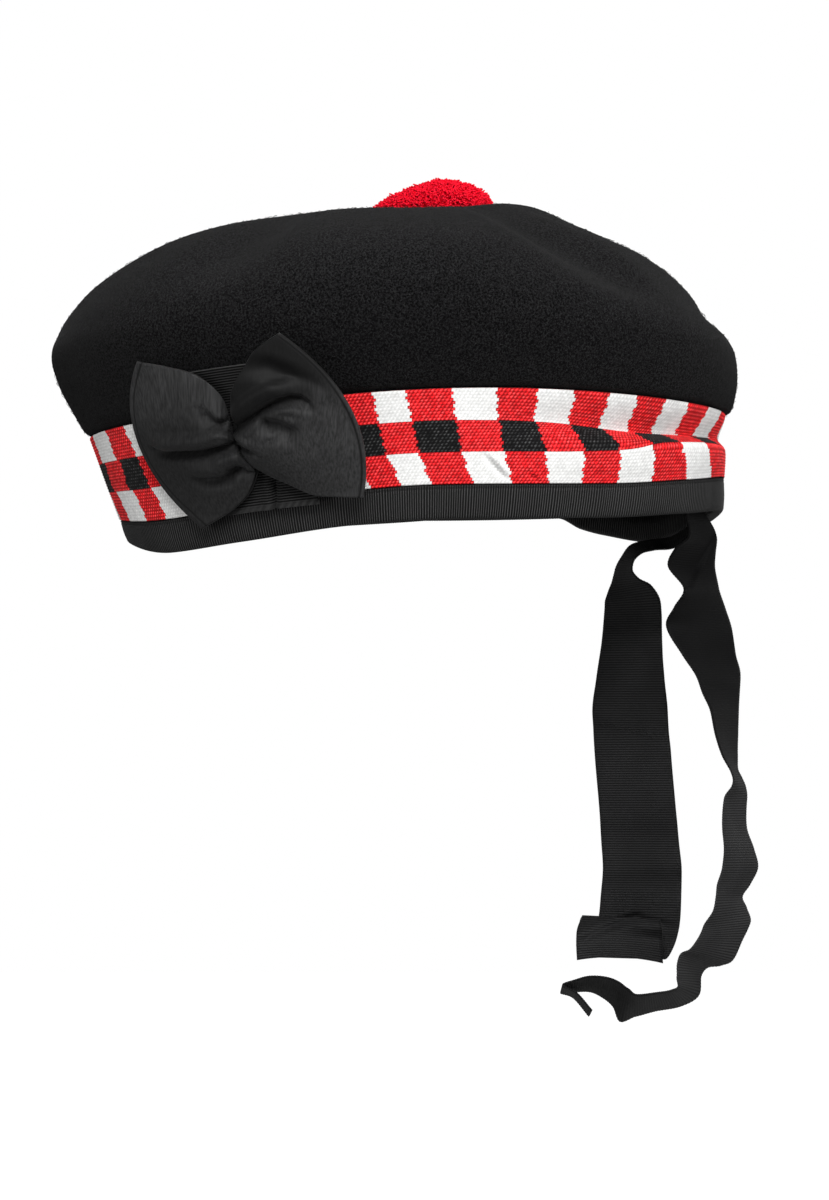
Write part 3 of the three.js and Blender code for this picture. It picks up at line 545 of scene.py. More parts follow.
def cloth_solid(name: str, face: Array, rear: Array) -> bpy.types.Object:
    """Make a closed sheet of cloth from its two faces.

    Args:
        name: The piece's name.
        face: Points of the face by row and column.
        rear: Points of the rear in the same layout.

    Returns:
        The new object.
    """
    rows, columns = face.shape[:2]
    loops = np.concatenate([face, rear[:, ::-1]], 1)[:, ::-1]
    size = 2 * columns
    faces: List[List[int]] = []
    for row in range(rows - 1):
        faces += ring_faces(row * size, (row + 1) * size, size).tolist()
    last = (rows - 1) * size
    for j in range(columns - 1):
        mirror = size - 1 - j
        faces.append([j, mirror, mirror - 1, j + 1])
        faces.append([last + j, last + j + 1, last + mirror - 1, last + mirror])
    return make_object(name, loops.reshape(-1, 3), faces)


def cloth_values(face: Array, rear: Array) -> Array:
    """Put values of a cloth's two faces in the order of its points."""
    return np.concatenate([face, rear[:, ::-1]], 1)[:, ::-1].ravel()


def store(piece: bpy.types.Object, name: str, values: Array) -> None:
    """Keep one number for each point of a piece as a named attribute."""
    layer = piece.data.attributes.new(name, "FLOAT", "POINT")
    layer.data.foreach_set("value", np.asarray(values, np.float32).ravel())


def ripple(points: Array, wavelength: float, seed: float = 0.0) -> Array:
    """Return smooth noise from -1 to 1 at points in millimetres."""
    flat = points.reshape(-1, 3) / wavelength + seed
    return np.array([noise.noise(Vector(p)) for p in flat]).reshape(points.shape[:-1])


class Board:
    """Short hand for wiring one material's nodes."""

    def __init__(self, name: str, roughness: float, sheen: float, specular: float) -> None:
        """Start a material with one shader.

        Args:
            name: The material's name.
            roughness: The shader's roughness.
            sheen: Weight of the cloth's sheen.
            specular: The shader's specular level.
        """
        self.material: bpy.types.Material = bpy.data.materials.new(name)
        self.material.use_nodes = True
        self.tree: bpy.types.NodeTree = self.material.node_tree
        self.shader: bpy.types.Node = self.tree.nodes["Principled BSDF"]
        self.shader.inputs["Roughness"].default_value = roughness
        self.shader.inputs["Sheen Weight"].default_value = sheen
        self.shader.inputs["Sheen Roughness"].default_value = 0.45
        self.shader.inputs["Specular IOR Level"].default_value = specular

    def add(self, kind: str, **settings: Any) -> bpy.types.Node:
        """Add a node and set its properties."""
        node = self.tree.nodes.new(kind)
        for key, value in settings.items():
            setattr(node, key, value)
        return node

    def put(self, node: bpy.types.Node, socket: Any, value: Any) -> None:
        """Link a socket to a node's input, or set the input to a value."""
        if isinstance(value, bpy.types.NodeSocket):
            self.tree.links.new(value, node.inputs[socket])
        else:
            node.inputs[socket].default_value = value

    def place(self, shift: Colour = (0.0, 0.0, 0.0),
              stretch: Colour = (1.0, 1.0, 1.0)) -> bpy.types.NodeSocket:
        """Return the object's own coordinates, moved and stretched."""
        node = self.add("ShaderNodeMapping")
        self.put(node, "Vector", self.add("ShaderNodeTexCoord").outputs["Object"])
        self.put(node, "Location", shift)
        self.put(node, "Scale", stretch)
        return node.outputs["Vector"]

    def noise(self, scale: float, detail: float = 2.0, distortion: float = 0.0,
              vector: Optional[bpy.types.NodeSocket] = None) -> bpy.types.NodeSocket:
        """Return a noise value from 0 to 1 on the object's coordinates or another vector."""
        node = self.add("ShaderNodeTexNoise")
        self.put(node, "Vector", vector if vector is not None else self.place())
        self.put(node, "Scale", scale)
        self.put(node, "Detail", detail)
        self.put(node, "Distortion", distortion)
        return node.outputs["Fac"]

    def math(self, operation: str, first: Any, second: Any = 0.0,
             clamp: bool = False) -> bpy.types.NodeSocket:
        """Return a sum on two values."""
        node = self.add("ShaderNodeMath", operation=operation, use_clamp=clamp)
        self.put(node, 0, first)
        self.put(node, 1, second)
        return node.outputs[0]

    def spread(self, value: Any, low: float, high: float, to_low: float = 0.0,
               to_high: float = 1.0) -> bpy.types.NodeSocket:
        """Return a value mapped from one range to another, clamped."""
        node = self.add("ShaderNodeMapRange")
        for socket, item in enumerate((value, low, high, to_low, to_high)):
            self.put(node, socket, item)
        return node.outputs[0]

    def mix(self, factor: Any, first: Any, second: Any, blend: str = "MIX") -> bpy.types.NodeSocket:
        """Return a mix of two colours."""
        node = self.add("ShaderNodeMix", data_type="RGBA", blend_type=blend)
        for socket, item in ((0, factor), (6, first), (7, second)):
            self.put(node, socket, (*item, 1.0) if isinstance(item, tuple) else item)
        return node.outputs[2]

    def grey(self, value: bpy.types.NodeSocket) -> bpy.types.NodeSocket:
        """Return a value as a grey colour."""
        node = self.add("ShaderNodeCombineColor")
        for channel in range(3):
            self.put(node, channel, value)
        return node.outputs[0]

    def read(self, name: str) -> bpy.types.NodeSocket:
        """Return a named number of the piece's points."""
        return self.add("ShaderNodeAttribute", attribute_name=name).outputs["Fac"]

    def ridges(self, scale: float, sharp: float, distortion: float, shift: Colour) -> bpy.types.NodeSocket:
        """Return thin curly lines, 1 along each line, like loose fibres."""
        value = self.noise(scale, 1.0, distortion, self.place(shift))
        away = self.math("ABSOLUTE", self.math("SUBTRACT", value, 0.5))
        return self.math("SUBTRACT", 1.0, self.math("MULTIPLY", away, sharp), True)

    def close(self, colour: Any, height: Any = None, depth: float = 0.0) -> bpy.types.Material:
        """Wire the colour and the relief to the shader.

        Args:
            colour: The base colour.
            height: The relief, from 0 to 1, if any.
            depth: How deep the relief is, in metres.

        Returns:
            The finished material.
        """
        self.put(self.shader, "Base Color", colour)
        if height is not None:
            bump = self.add("ShaderNodeBump")
            self.put(bump, "Height", height)
            self.put(bump, "Strength", 1.0)
            self.put(bump, "Distance", depth)
            self.put(self.shader, "Normal", bump.outputs[0])
        return self.material


@dataclass(frozen=True)
class FeltFinish:
    """Black milled wool: soft dark ground with a haze of short curly lighter fibres."""

    ground: Colour = (0.0006, 0.0006, 0.0007)
    fibre: Colour = (0.0245, 0.0245, 0.0255)
    fibre_share: float = 0.9
    fibre_scale: float = 2400.0
    patch_scale: float = 1400.0
    cloud_scale: float = 28.0
    relief: float = 0.00016

    def make(self) -> bpy.types.Material:
        """Return the felt's material."""
        board = Board("black_felt", 0.95, 0.03, 0.03)
        first = board.ridges(self.fibre_scale, 16.0, 0.8, (0.0, 0.0, 0.0))
        second = board.ridges(self.fibre_scale * 1.37, 18.0, 0.9, (0.31, 0.17, 0.53))
        loose = board.math("MAXIMUM", first, second)
        patch = board.spread(board.noise(self.patch_scale), 0.38, 0.62, 0.12, 1.05)
        fibres = board.math("MULTIPLY", board.math("MULTIPLY", loose, patch), self.fibre_share)
        cloud = board.spread(board.noise(self.cloud_scale), 0.3, 0.7, 0.92, 1.08)
        ground = board.mix(1.0, self.ground, board.grey(cloud), "MULTIPLY")
        return board.close(board.mix(fibres, ground, self.fibre), fibres, self.relief)


@dataclass(frozen=True)
class NapFinish:
    """Loose fibres that stand off the felt."""

    dark: Colour = (0.004, 0.004, 0.004)
    light: Colour = (0.028, 0.028, 0.028)
    fibre_scale: float = 900.0

    def make(self) -> bpy.types.Material:
        """Return the nap's material."""
        board = Board("felt_nap", 0.8, 0.0, 0.1)
        mixed = board.spread(board.noise(self.fibre_scale, 1.0), 0.3, 0.7)
        return board.close(board.mix(mixed, self.dark, self.light))


@dataclass(frozen=True)
class TapeFinish:
    """Woven tape: each grain has its yarn's colour, with a painted highlight on its top and painted shade in
    the gaps round it.
    """

    grain_light: float = 1.25
    top_light: float = 0.25
    top_narrow: float = 3.0
    fibre_scale: float = 1400.0
    spark_scale: float = 620.0
    relief: float = 0.00006

    def make(self) -> bpy.types.Material:
        """Return the tape's material."""
        board = Board("diced_tape", 0.85, 0.03, 0.10)
        yarn = board.add("ShaderNodeAttribute", attribute_name="yarn")
        colour, depth = yarn.outputs["Color"], yarn.outputs["Alpha"]
        lift = board.read("lift")
        # Painted shade in the gaps between grains and painted light on their tops, from each grain's lift and
        # its yarn's gap value.
        grain = board.math("MULTIPLY", depth, board.math("MULTIPLY", lift, self.grain_light))
        level = board.math("ADD", board.math("SUBTRACT", 1.0, depth), grain)
        wool = board.spread(board.noise(self.fibre_scale), 0.25, 0.75, 0.86, 1.12)
        body = board.mix(1.0, colour, board.grey(board.math("MULTIPLY", level, wool)), "MULTIPLY")
        # Painted highlight: a glint on each grain's top, tinted by its yarn and made stronger or weaker at
        # random.
        glint = board.math("MULTIPLY", board.math("POWER", lift, self.top_narrow), depth)
        spark = board.spread(board.noise(self.spark_scale, 1.0), 0.36, 0.64, 0.1, 2.2)
        glint = board.math("MULTIPLY", board.math("MULTIPLY", glint, spark), self.top_light)
        tint = board.mix(0.5, colour, (0.5, 0.5, 0.5))
        light = board.mix(1.0, tint, board.grey(glint), "MULTIPLY")
        return board.close(board.mix(1.0, body, light, "ADD"), wool, self.relief)


@dataclass(frozen=True)
class RibbonFinish:
    """Black ribbed ribbon: a painted highlight along the top of each rib and painted shade between ribs, with
    fine threads across.
    """

    name: str
    valley_shade: Colour
    crest_highlight: Colour
    roughness: float = 0.6
    sheen: float = 0.02
    specular: float = 0.12
    narrow: float = 1.0
    grain: float = 2600.0
    streak: Colour = (1.0, 1.0, 1.0)
    weave: Tuple[float, float] = (0.8, 1.1)
    cloud_scale: float = 45.0
    relief: float = 0.00003

    def make(self) -> bpy.types.Material:
        """Return the ribbon's material."""
        board = Board(self.name, self.roughness, self.sheen, self.specular)
        ground = board.place(stretch=self.streak)
        thread = board.spread(board.noise(self.grain, vector=ground), 0.3, 0.7)
        cloud = board.spread(board.noise(self.cloud_scale), 0.3, 0.7, 0.82, 1.15)
        # Painted highlight along the top of each rib and painted shade between ribs, set by the stored rib
        # value.
        crest_highlight = board.math("POWER", board.read("rib"), self.narrow)
        rib = board.math("MULTIPLY", crest_highlight, board.spread(thread, 0.0, 1.0, *self.weave))
        colour = board.mix(rib, self.valley_shade, self.crest_highlight)
        colour = board.mix(1.0, colour, board.grey(cloud), "MULTIPLY")
        return board.close(colour, thread, self.relief)


@dataclass(frozen=True)
class WoolFinish:
    """Red cut wool: strands of mixed reds, with painted shade towards the root, deep among the strands, and a
    painted highlight towards the tip.
    """

    root: Colour = (0.46, 0.0010, 0.0068)
    body: Colour = (0.60, 0.0016, 0.0115)
    tip: Colour = (0.71, 0.010, 0.029)

    def make(self) -> bpy.types.Material:
        """Return the wool's material."""
        board = Board("red_wool", 0.95, 0.0, 0.02)
        along = board.read("along")
        # Painted shade towards the root and painted highlight towards the tip, read along each strand.
        colour = board.mix(board.spread(along, 0.0, 0.55), self.root, self.body)
        colour = board.mix(board.spread(along, 0.8, 1.0), colour, self.tip)
        shade = board.spread(board.read("shade"), 0.0, 1.0, 0.72, 1.05)
        return board.close(board.mix(1.0, colour, board.grey(shade), "MULTIPLY"))


@dataclass(frozen=True)
class FloorFinish:
    """Pale floor that the camera sees as even white, and that sends little light up to the bonnet."""

    colour: Colour = (0.35, 0.35, 0.35)

    def make(self) -> bpy.types.Material:
        """Return the floor's material."""
        board = Board("studio_floor", 0.9, 0.0, 0.1)
        rays = board.add("ShaderNodeLightPath")
        board.put(board.shader, "Emission Color", (1.0, 1.0, 1.0, 1.0))
        board.put(board.shader, "Emission Strength", rays.outputs["Is Camera Ray"])
        return board.close((*self.colour, 1.0))


class Grower:
    """Builds one Geometry Nodes tree with named inputs, and turns its result into a plain mesh."""

    def __init__(self, name: str, inputs: Dict[str, Any]) -> None:
        """Start a tree.

        Args:
            name: The tree's name.
            inputs: The value of each named input; a material gives a material input.
        """
        self.tree: bpy.types.NodeTree = bpy.data.node_groups.new(name, "GeometryNodeTree")
        self.values: Dict[str, Any] = {}
        face = self.tree.interface
        face.new_socket(name="Geometry", in_out="INPUT", socket_type="NodeSocketGeometry")
        face.new_socket(name="Geometry", in_out="OUTPUT", socket_type="NodeSocketGeometry")
        for label, value in inputs.items():
            kind = {int: "NodeSocketInt", float: "NodeSocketFloat"}.get(type(value), "NodeSocketMaterial")
            self.values[face.new_socket(name=label, in_out="INPUT", socket_type=kind).identifier] = value
        self.entry: bpy.types.Node = self.tree.nodes.new("NodeGroupInput")

    def add(self, kind: str, links: Optional[Dict[Any, Any]] = None, **settings: Any) -> bpy.types.Node:
        """Add a node.

        Args:
            kind: The node's type.
            links: For each input, a socket to link, the name of a tree input after an @ sign, or a value.
            settings: The node's properties.

        Returns:
            The new node.
        """
        node = self.tree.nodes.new(kind)
        for key, value in settings.items():
            setattr(node, key, value)
        for key, value in (links or {}).items():
            if isinstance(value, str) and value.startswith("@"):
                value = self.entry.outputs[value[1:]]
            if isinstance(value, bpy.types.NodeSocket):
                self.tree.links.new(value, node.inputs[key])
            else:
                node.inputs[key].default_value = value
        return node

    def named(self, name: str, kind: str) -> bpy.types.NodeSocket:
        """Return a named attribute of each point."""
        node = self.add("GeometryNodeInputNamedAttribute", {"Name": name}, data_type=kind)
        return node.outputs["Attribute"]

    def facing(self, name: str) -> bpy.types.NodeSocket:
        """Return the rotation that turns +Z to each point's named vector."""
        vector = self.named(name, "FLOAT_VECTOR")
        return self.add("FunctionNodeAlignRotationToVector", {"Vector": vector}, axis="Z").outputs[0]

    def chance(self, low: float, high: float, seed: int) -> bpy.types.NodeSocket:
        """Return a random number for each point, with its own seed."""
        node = self.add("FunctionNodeRandomValue", data_type="FLOAT")
        for socket in node.inputs:
            if socket.enabled and socket.name in ("Min", "Max", "Seed"):
                socket.default_value = {"Min": low, "Max": high, "Seed": seed}[socket.name]
        return next(socket for socket in node.outputs if socket.enabled)

    def grow(self, source: bpy.types.Object, points: Any, shape: Any, turn: Any, scale: Any,
             name: str) -> bpy.types.Object:
        """Set a shape on each point, and replace the source by the plain mesh of the result.

        Args:
            source: The object that carries the points; it is removed.
            points: Socket of the points.
            shape: Socket of the shape set on each point.
            turn: Socket of each point's rotation.
            scale: Socket of each point's scale.
            name: The new piece's name.

        Returns:
            The new object.
        """
        put = self.add("GeometryNodeInstanceOnPoints",
                       {"Points": points, "Instance": shape, "Rotation": turn, "Scale": scale})
        real = self.add("GeometryNodeRealizeInstances", {"Geometry": put.outputs["Instances"]})
        dressed = self.add("GeometryNodeSetMaterial",
                           {"Geometry": real.outputs["Geometry"], "Material": "@Finish"})
        self.add("NodeGroupOutput", {"Geometry": dressed.outputs["Geometry"]})
        modifier = source.modifiers.new("grow", "NODES")
        modifier.node_group = self.tree
        for identifier, value in self.values.items():
            modifier[identifier] = value
        graph = bpy.context.evaluated_depsgraph_get()
        mesh = bpy.data.meshes.new_from_object(source.evaluated_get(graph), preserve_all_data_layers=True,
                                               depsgraph=graph)
        source.modifiers.remove(modifier)
        bpy.data.objects.remove(source)
        mesh.name = name
        piece = bpy.data.objects.new(name, mesh)
        bpy.context.scene.collection.objects.link(piece)
        return piece


def point_cloud(points: Array, numbers: Dict[str, Array], vectors: Dict[str, Array]) -> bpy.types.Object:
    """Make an object of bare points with named attributes, for a tree to grow on.

    Args:
        points: The points in millimetres.
        numbers: Named numbers, one for each point.
        vectors: Named vectors, one for each point.

    Returns:
        The new object.
    """
    piece = make_object("points", points, [])
    for name, values in numbers.items():
        store(piece, name, values)
    for name, values in vectors.items():
        layer = piece.data.attributes.new(name, "FLOAT_VECTOR", "POINT")
        layer.data.foreach_set("vector", np.asarray(values, np.float32).ravel())
    return piece


def settle(piece: bpy.types.Object, nodes: Sequence[str],
           material: Optional[bpy.types.Material] = None) -> None:
    """Give a piece its material and body, and hide the CAD parts of the nodes that it stands for.

    Args:
        piece: The piece.
        nodes: The CAD nodes that it stands for.
        material: Its material, unless its mesh already has one.
    """
    if material is not None:
        piece.data.materials.append(material)
    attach(piece, "root")
    if nodes:
        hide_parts(*nodes)


def report(piece: bpy.types.Object) -> None:
    """Log a piece's name and how many triangles it has."""
    piece.data.calc_loop_triangles()
    LOG.info("%s: %d triangles", piece.name, len(piece.data.loop_triangles))


def cloth_grid(along: Array, columns: int) -> Tuple[Array, Array]:
    """Return the two parameters of every point of a cloth, from its steps along and its columns."""
    u, v = np.meshgrid(along, np.linspace(0, 1, columns + 1), indexing="ij")
    return u, v


def ribbed_cloth(name: str, surface: Surface, grid: Tuple[Array, Array], wall: float, relief: Array,
                 light_and_shade: Union[float, Array] = 1.0) -> bpy.types.Object:
    """Make a ribbon from its middle surface and its relief, with the relief stored as a rib value for a
    painted highlight along each rib, scaled by painted light and shade.

    Args:
        name: The piece's name.
        surface: The ribbon's middle surface.
        grid: The two parameters of every point on the surface.
        wall: The ribbon's thickness.
        relief: How far each point stands out of both faces.
        light_and_shade: Painted light and shade: how strongly the ribs' painted highlight shows at each point.

    Returns:
        The new object.
    """
    normal = face_normal(surface, *grid, RIBBON_STEP_U, SLOPE_STEP)
    middle = surface(*grid)
    reach = (wall / 2 + relief)[..., None] * normal
    piece = cloth_solid(name, middle + reach, middle - reach)
    top = max(1e-6, float(np.abs(relief).max()))
    # Painted highlight along the top of each rib and painted shade between ribs, scaled by the painted light
    # and shade of each point.
    crest_highlight = light_and_shade * (0.5 + 0.5 * relief / top)
    store(piece, "rib", cloth_values(crest_highlight, crest_highlight))
    return piece


@dataclass
class Crown:
    """The felt body: the headband's wall and the full crown above it, one hollow shell with a short nap."""

    form: HeadForm
    finish: FeltFinish
    nap_finish: NapFinish
    around: int = 336
    band_rows: int = 14
    rows_per_ring: int = 6
    inner_every: int = 3
    rim_gap: float = 1.4
    swell: float = 0.35
    swell_length: float = 22.0
    pucker: float = 0.10
    pucker_length: float = 5.0
    pucker_seed: float = 7.0
    nap_density: float = 85000.0
    nap_length: float = 1.5
    nap_width: float = 0.07
    nap_lift: float = 0.30
    nap_seed: int = 11
    nap_ground_step: int = 4

    def sections(self) -> List[Tuple[Surface, Array]]:
        """Return each row of the shell as a surface and the rows' heights on it, from the rim up."""
        theta = self.angles()
        wall = self.form.wall(theta)
        low = self.form.binding_height + self.form.air
        foot = (self.rim_gap + self.form.front_lift(theta)) / wall
        rows: List[Tuple[Surface, Array]] = [(self.form.headband, foot)]
        for row in range(self.band_rows):
            height = (low + row / self.band_rows * (wall - self.form.air - low)) / wall
            rows.append((self.form.headband, height))
        rows.append((self.form.headband, np.ones_like(theta)))
        last = len(CROWN_RINGS.values) - 1
        for ring in np.arange(1, last * self.rows_per_ring - 1) / self.rows_per_ring:
            rows.append((self.form.crown, np.full_like(theta, ring)))
        return rows

    def angles(self) -> Array:
        """Return the angles round the head."""
        return np.arange(self.around) * 2 * np.pi / self.around

    def build(self) -> bpy.types.Object:
        """Return the felt shell."""
        theta = self.angles()
        outer, inner = [], []
        for number, (surface, height) in enumerate(self.sections()):
            normal = face_normal(surface, theta, height, SLOPE_STEP, SLOPE_STEP)
            face = surface(theta, height)
            if surface == self.form.crown:
                soft = self.swell * ripple(face, self.swell_length)
                soft = soft + self.pucker * ripple(face, self.pucker_length, self.pucker_seed)
                outer.append(face + normal * soft[:, None])
            else:
                outer.append(face)
            if number % self.inner_every == 0 or number < 2:
                inner.append(face - normal * self.form.felt_wall)
        top = float(CROWN_RINGS.column("frontZ")[-1])
        poles = [(0, 0, top), (0, 0, top - self.form.felt_wall)]
        return ring_solid("crown_felt", np.array(outer + inner[::-1]), len(outer) - 1, poles)

    def grow_nap(self) -> bpy.types.Object:
        """Return the loose fibres on the crown's outer face."""
        theta = self.angles()[::self.nap_ground_step]
        rows = np.arange(2, (len(CROWN_RINGS.values) - 1) * 2) / 2
        grid = np.array([self.form.crown(theta, np.full_like(theta, ring)) for ring in rows])
        count = len(theta)
        faces = np.concatenate([ring_faces(k * count, (k + 1) * count, count) for k in range(len(rows) - 1)])
        ground = make_object("nap_ground", grid.reshape(-1, 3), faces.tolist())
        grower = Grower("felt_nap", {"Density": self.nap_density, "Seed": self.nap_seed,
                                     "Width": self.nap_width * METRE, "Finish": self.nap_finish.make()})
        spots = grower.add("GeometryNodeDistributePointsOnFaces",
                           {"Mesh": "@Geometry", "Density": "@Density", "Seed": "@Seed"})
        length, lift = self.nap_length * METRE, self.nap_lift * METRE
        hair = grower.add("GeometryNodeCurveQuadraticBezier",
                          {"Resolution": 2, "Start": (-length / 2, 0.0, 0.0),
                           "Middle": (0.0, length / 3, 2 * lift), "End": (length / 2, 0.0, lift / 2)})
        section = grower.add("GeometryNodeCurvePrimitiveCircle", {"Resolution": 3, "Radius": "@Width"})
        body = grower.add("GeometryNodeCurveToMesh", {"Curve": hair.outputs[0], "Fill Caps": True,
                                                      "Profile Curve": section.outputs[0]})
        spin = grower.add("ShaderNodeCombineXYZ", {"Z": grower.chance(0.0, 2 * math.pi, 3),
                                                   "Y": grower.chance(-0.5, 0.2, 4)})
        euler = grower.add("FunctionNodeEulerToRotation", {0: spin.outputs[0]})
        turn = grower.add("FunctionNodeRotateRotation", {0: spots.outputs["Rotation"], 1: euler.outputs[0]},
                          rotation_space="LOCAL")
        return grower.grow(ground, spots.outputs["Points"], body.outputs["Mesh"], turn.outputs[0],
                           grower.chance(0.6, 1.25, 5), "crown_nap")

    def dress(self) -> List[bpy.types.Object]:
        """Build the felt and its nap, and settle both."""
        felt = self.build()
        settle(felt, ["crown"], self.finish.make())
        nap = self.grow_nap()
        settle(nap, [])
        return [felt, nap]


@dataclass
class DicedBand:
    """The woven tape round the headband, in three rows of checks, with every grain of yarn in relief."""

    form: HeadForm
    finish: TapeFinish
    grains_round: int = 460
    grains_per_check: int = 10
    checks: int = 46
    wall: float = 1.2
    peak: float = 0.13
    dip: float = 0.16
    sway: float = 0.35
    sway_length: float = 24.0
    sway_seed: float = 3.0
    between: Tuple[float, float] = (0.36, 0.0)
    across: Tuple[float, float] = (1.0, 0.25)
    yarn_darkest: float = -0.36
    yarn_lightest: float = 0.2
    seed: int = 5
    inner_rows: int = 13

    def angles(self) -> Array:
        """Return the angle of each half grain, evenly by length round the tape, from the front seam."""
        theta = np.linspace(-np.pi, np.pi, FINE_STEPS)
        line = self.form.on_tape(theta, np.full_like(theta, 0.5), np.zeros_like(theta))
        run = lengths(line)
        wanted = np.arange(2 * self.grains_round) / (2 * self.grains_round) * run[-1]
        return np.interp(wanted, run, theta)

    @staticmethod
    def share(theta: Array, height: float) -> Array:
        """Return the share of the tape's height for a height in rows of checks, from the binding up."""
        degrees = turn_between(0.0, np.degrees(theta))
        low, high = (CHECK_ROWS.track(name, degrees, "angle") for name in ("low", "high"))
        marks = [np.zeros_like(theta), low, high, np.ones_like(theta)]
        row = min(2, int(height))
        return marks[row] + (marks[row + 1] - marks[row]) * (height - row)

    def check_at(self, theta: Array, height: float) -> Array:
        """Return the number of the check at each angle, for a height in rows of checks."""
        numbers = np.arange(-1, self.checks)
        angles = [np.interp(height, CHECK_LEVELS, row) for row in CHECK_EDGES.values[:, 1:]]
        line = np.interp(numbers, CHECK_EDGES.column("check"), angles)
        degrees = (np.degrees(theta) - line[0]) % 360 + line[0]
        return np.searchsorted(line, degrees, "right") - 2

    def yarn_at(self, theta: Array, height: float, random: np.random.Generator) -> Array:
        """Return each grain's colour and gap, for one row of grains."""
        check = self.check_at(theta, height)
        row = 2 - min(2, int(height))
        even = Yarn.RED if row == 1 else Yarn.WHITE
        odd = Yarn.BLACK if row == 1 else Yarn.RED
        colour = np.where((check % 2 == 0)[:, None], np.array(even.value), np.array(odd.value))
        colour[:, :3] *= 1 + colour[:, 3:] * random.uniform(self.yarn_darkest, self.yarn_lightest,
                                                            (len(theta), 1))
        return colour

    @staticmethod
    def wrinkle(theta: Array, share: Array) -> Array:
        """Return the small slanting wrinkles in the lower row of the wearer's left side."""
        degrees = np.degrees(theta)
        total = np.zeros_like(degrees)
        for start, end, top, bottom, width, rise in WRINKLES.values:
            along = (top - share) / (top - bottom)
            aside = (degrees - start - (end - start) * along) / width
            total += rise * (hump(aside, 1.0) - 0.9 * hump(aside + 1.1, 0.9)) * hump(along - 0.5, 0.62)
        return total

    def build(self) -> bpy.types.Object:
        """Return the tape with its grains and their colours."""
        theta = self.angles()
        columns = len(theta)
        rows = 3 * self.grains_per_check
        outer, lift = [], []
        place = np.arange(columns)
        face_offset = self.form.air + self.wall
        for j in range(2 * rows + 1):
            share = self.share(theta, 3 * j / (2 * rows))
            flat = self.form.on_tape(theta, share, np.full_like(theta, face_offset))
            up = np.where((place + j // 2) % 2 == 0, *(self.across if j % 2 else self.between))
            soft = self.sway * ripple(flat, self.sway_length, self.sway_seed) * hump(share - 0.5, 0.6)
            rise = self.dip * (up - 1) + self.peak * up + soft + self.wrinkle(theta, share)
            outer.append(self.form.on_tape(theta, share, face_offset + rise))
            lift.append(up)
        inner = []
        for j in range(self.inner_rows + 1):
            share = self.share(theta, 3 * j / self.inner_rows)
            inner.append(self.form.on_tape(theta, share, np.full_like(theta, self.form.air)))
        rings = np.array(outer + inner[::-1])
        piece = ring_solid("diced_tape", rings)
        # Each point's lift also sets the painted highlight on grain tops and the painted shade in the gaps, in
        # the tape's material.
        store(piece, "lift", np.concatenate([np.ravel(lift), np.zeros(len(inner) * columns)]))
        self.colour(piece, theta, rows)
        return piece

    def colour(self, piece: bpy.types.Object, theta: Array, rows: int) -> None:
        """Store the yarn colour of every corner of the tape.

        Args:
            piece: The tape.
            theta: The angle of each half grain.
            rows: The number of rows of grains.
        """
        random = np.random.default_rng(self.seed)
        columns = len(theta)
        place = np.arange(columns)
        faces = []
        for row in range(rows):
            yarn = self.yarn_at(theta, 3 * (row + 0.5) / rows, random)
            own = np.where((place + row) % 2 == 0, place, (place + 1) % columns)
            faces += [yarn[own], yarn[own]]
        total = len(piece.data.polygons)
        back = np.tile(np.array(Yarn.RED.value) * (0.5, 0.5, 0.5, 1.0), (total - 2 * rows * columns, 1))
        corners = np.repeat(np.concatenate([*faces, back]), 4, axis=0)
        # The alpha of each corner holds its yarn's painted shade in the gaps, which also scales its painted
        # highlight.
        layer = piece.data.color_attributes.new("yarn", "FLOAT_COLOR", "CORNER")
        layer.data.foreach_set("color", corners.astype(np.float32).ravel())

    def dress(self) -> List[bpy.types.Object]:
        """Build the tape and settle it."""
        piece = self.build()
        settle(piece, ["diced_band"], self.finish.make())
        return [piece]


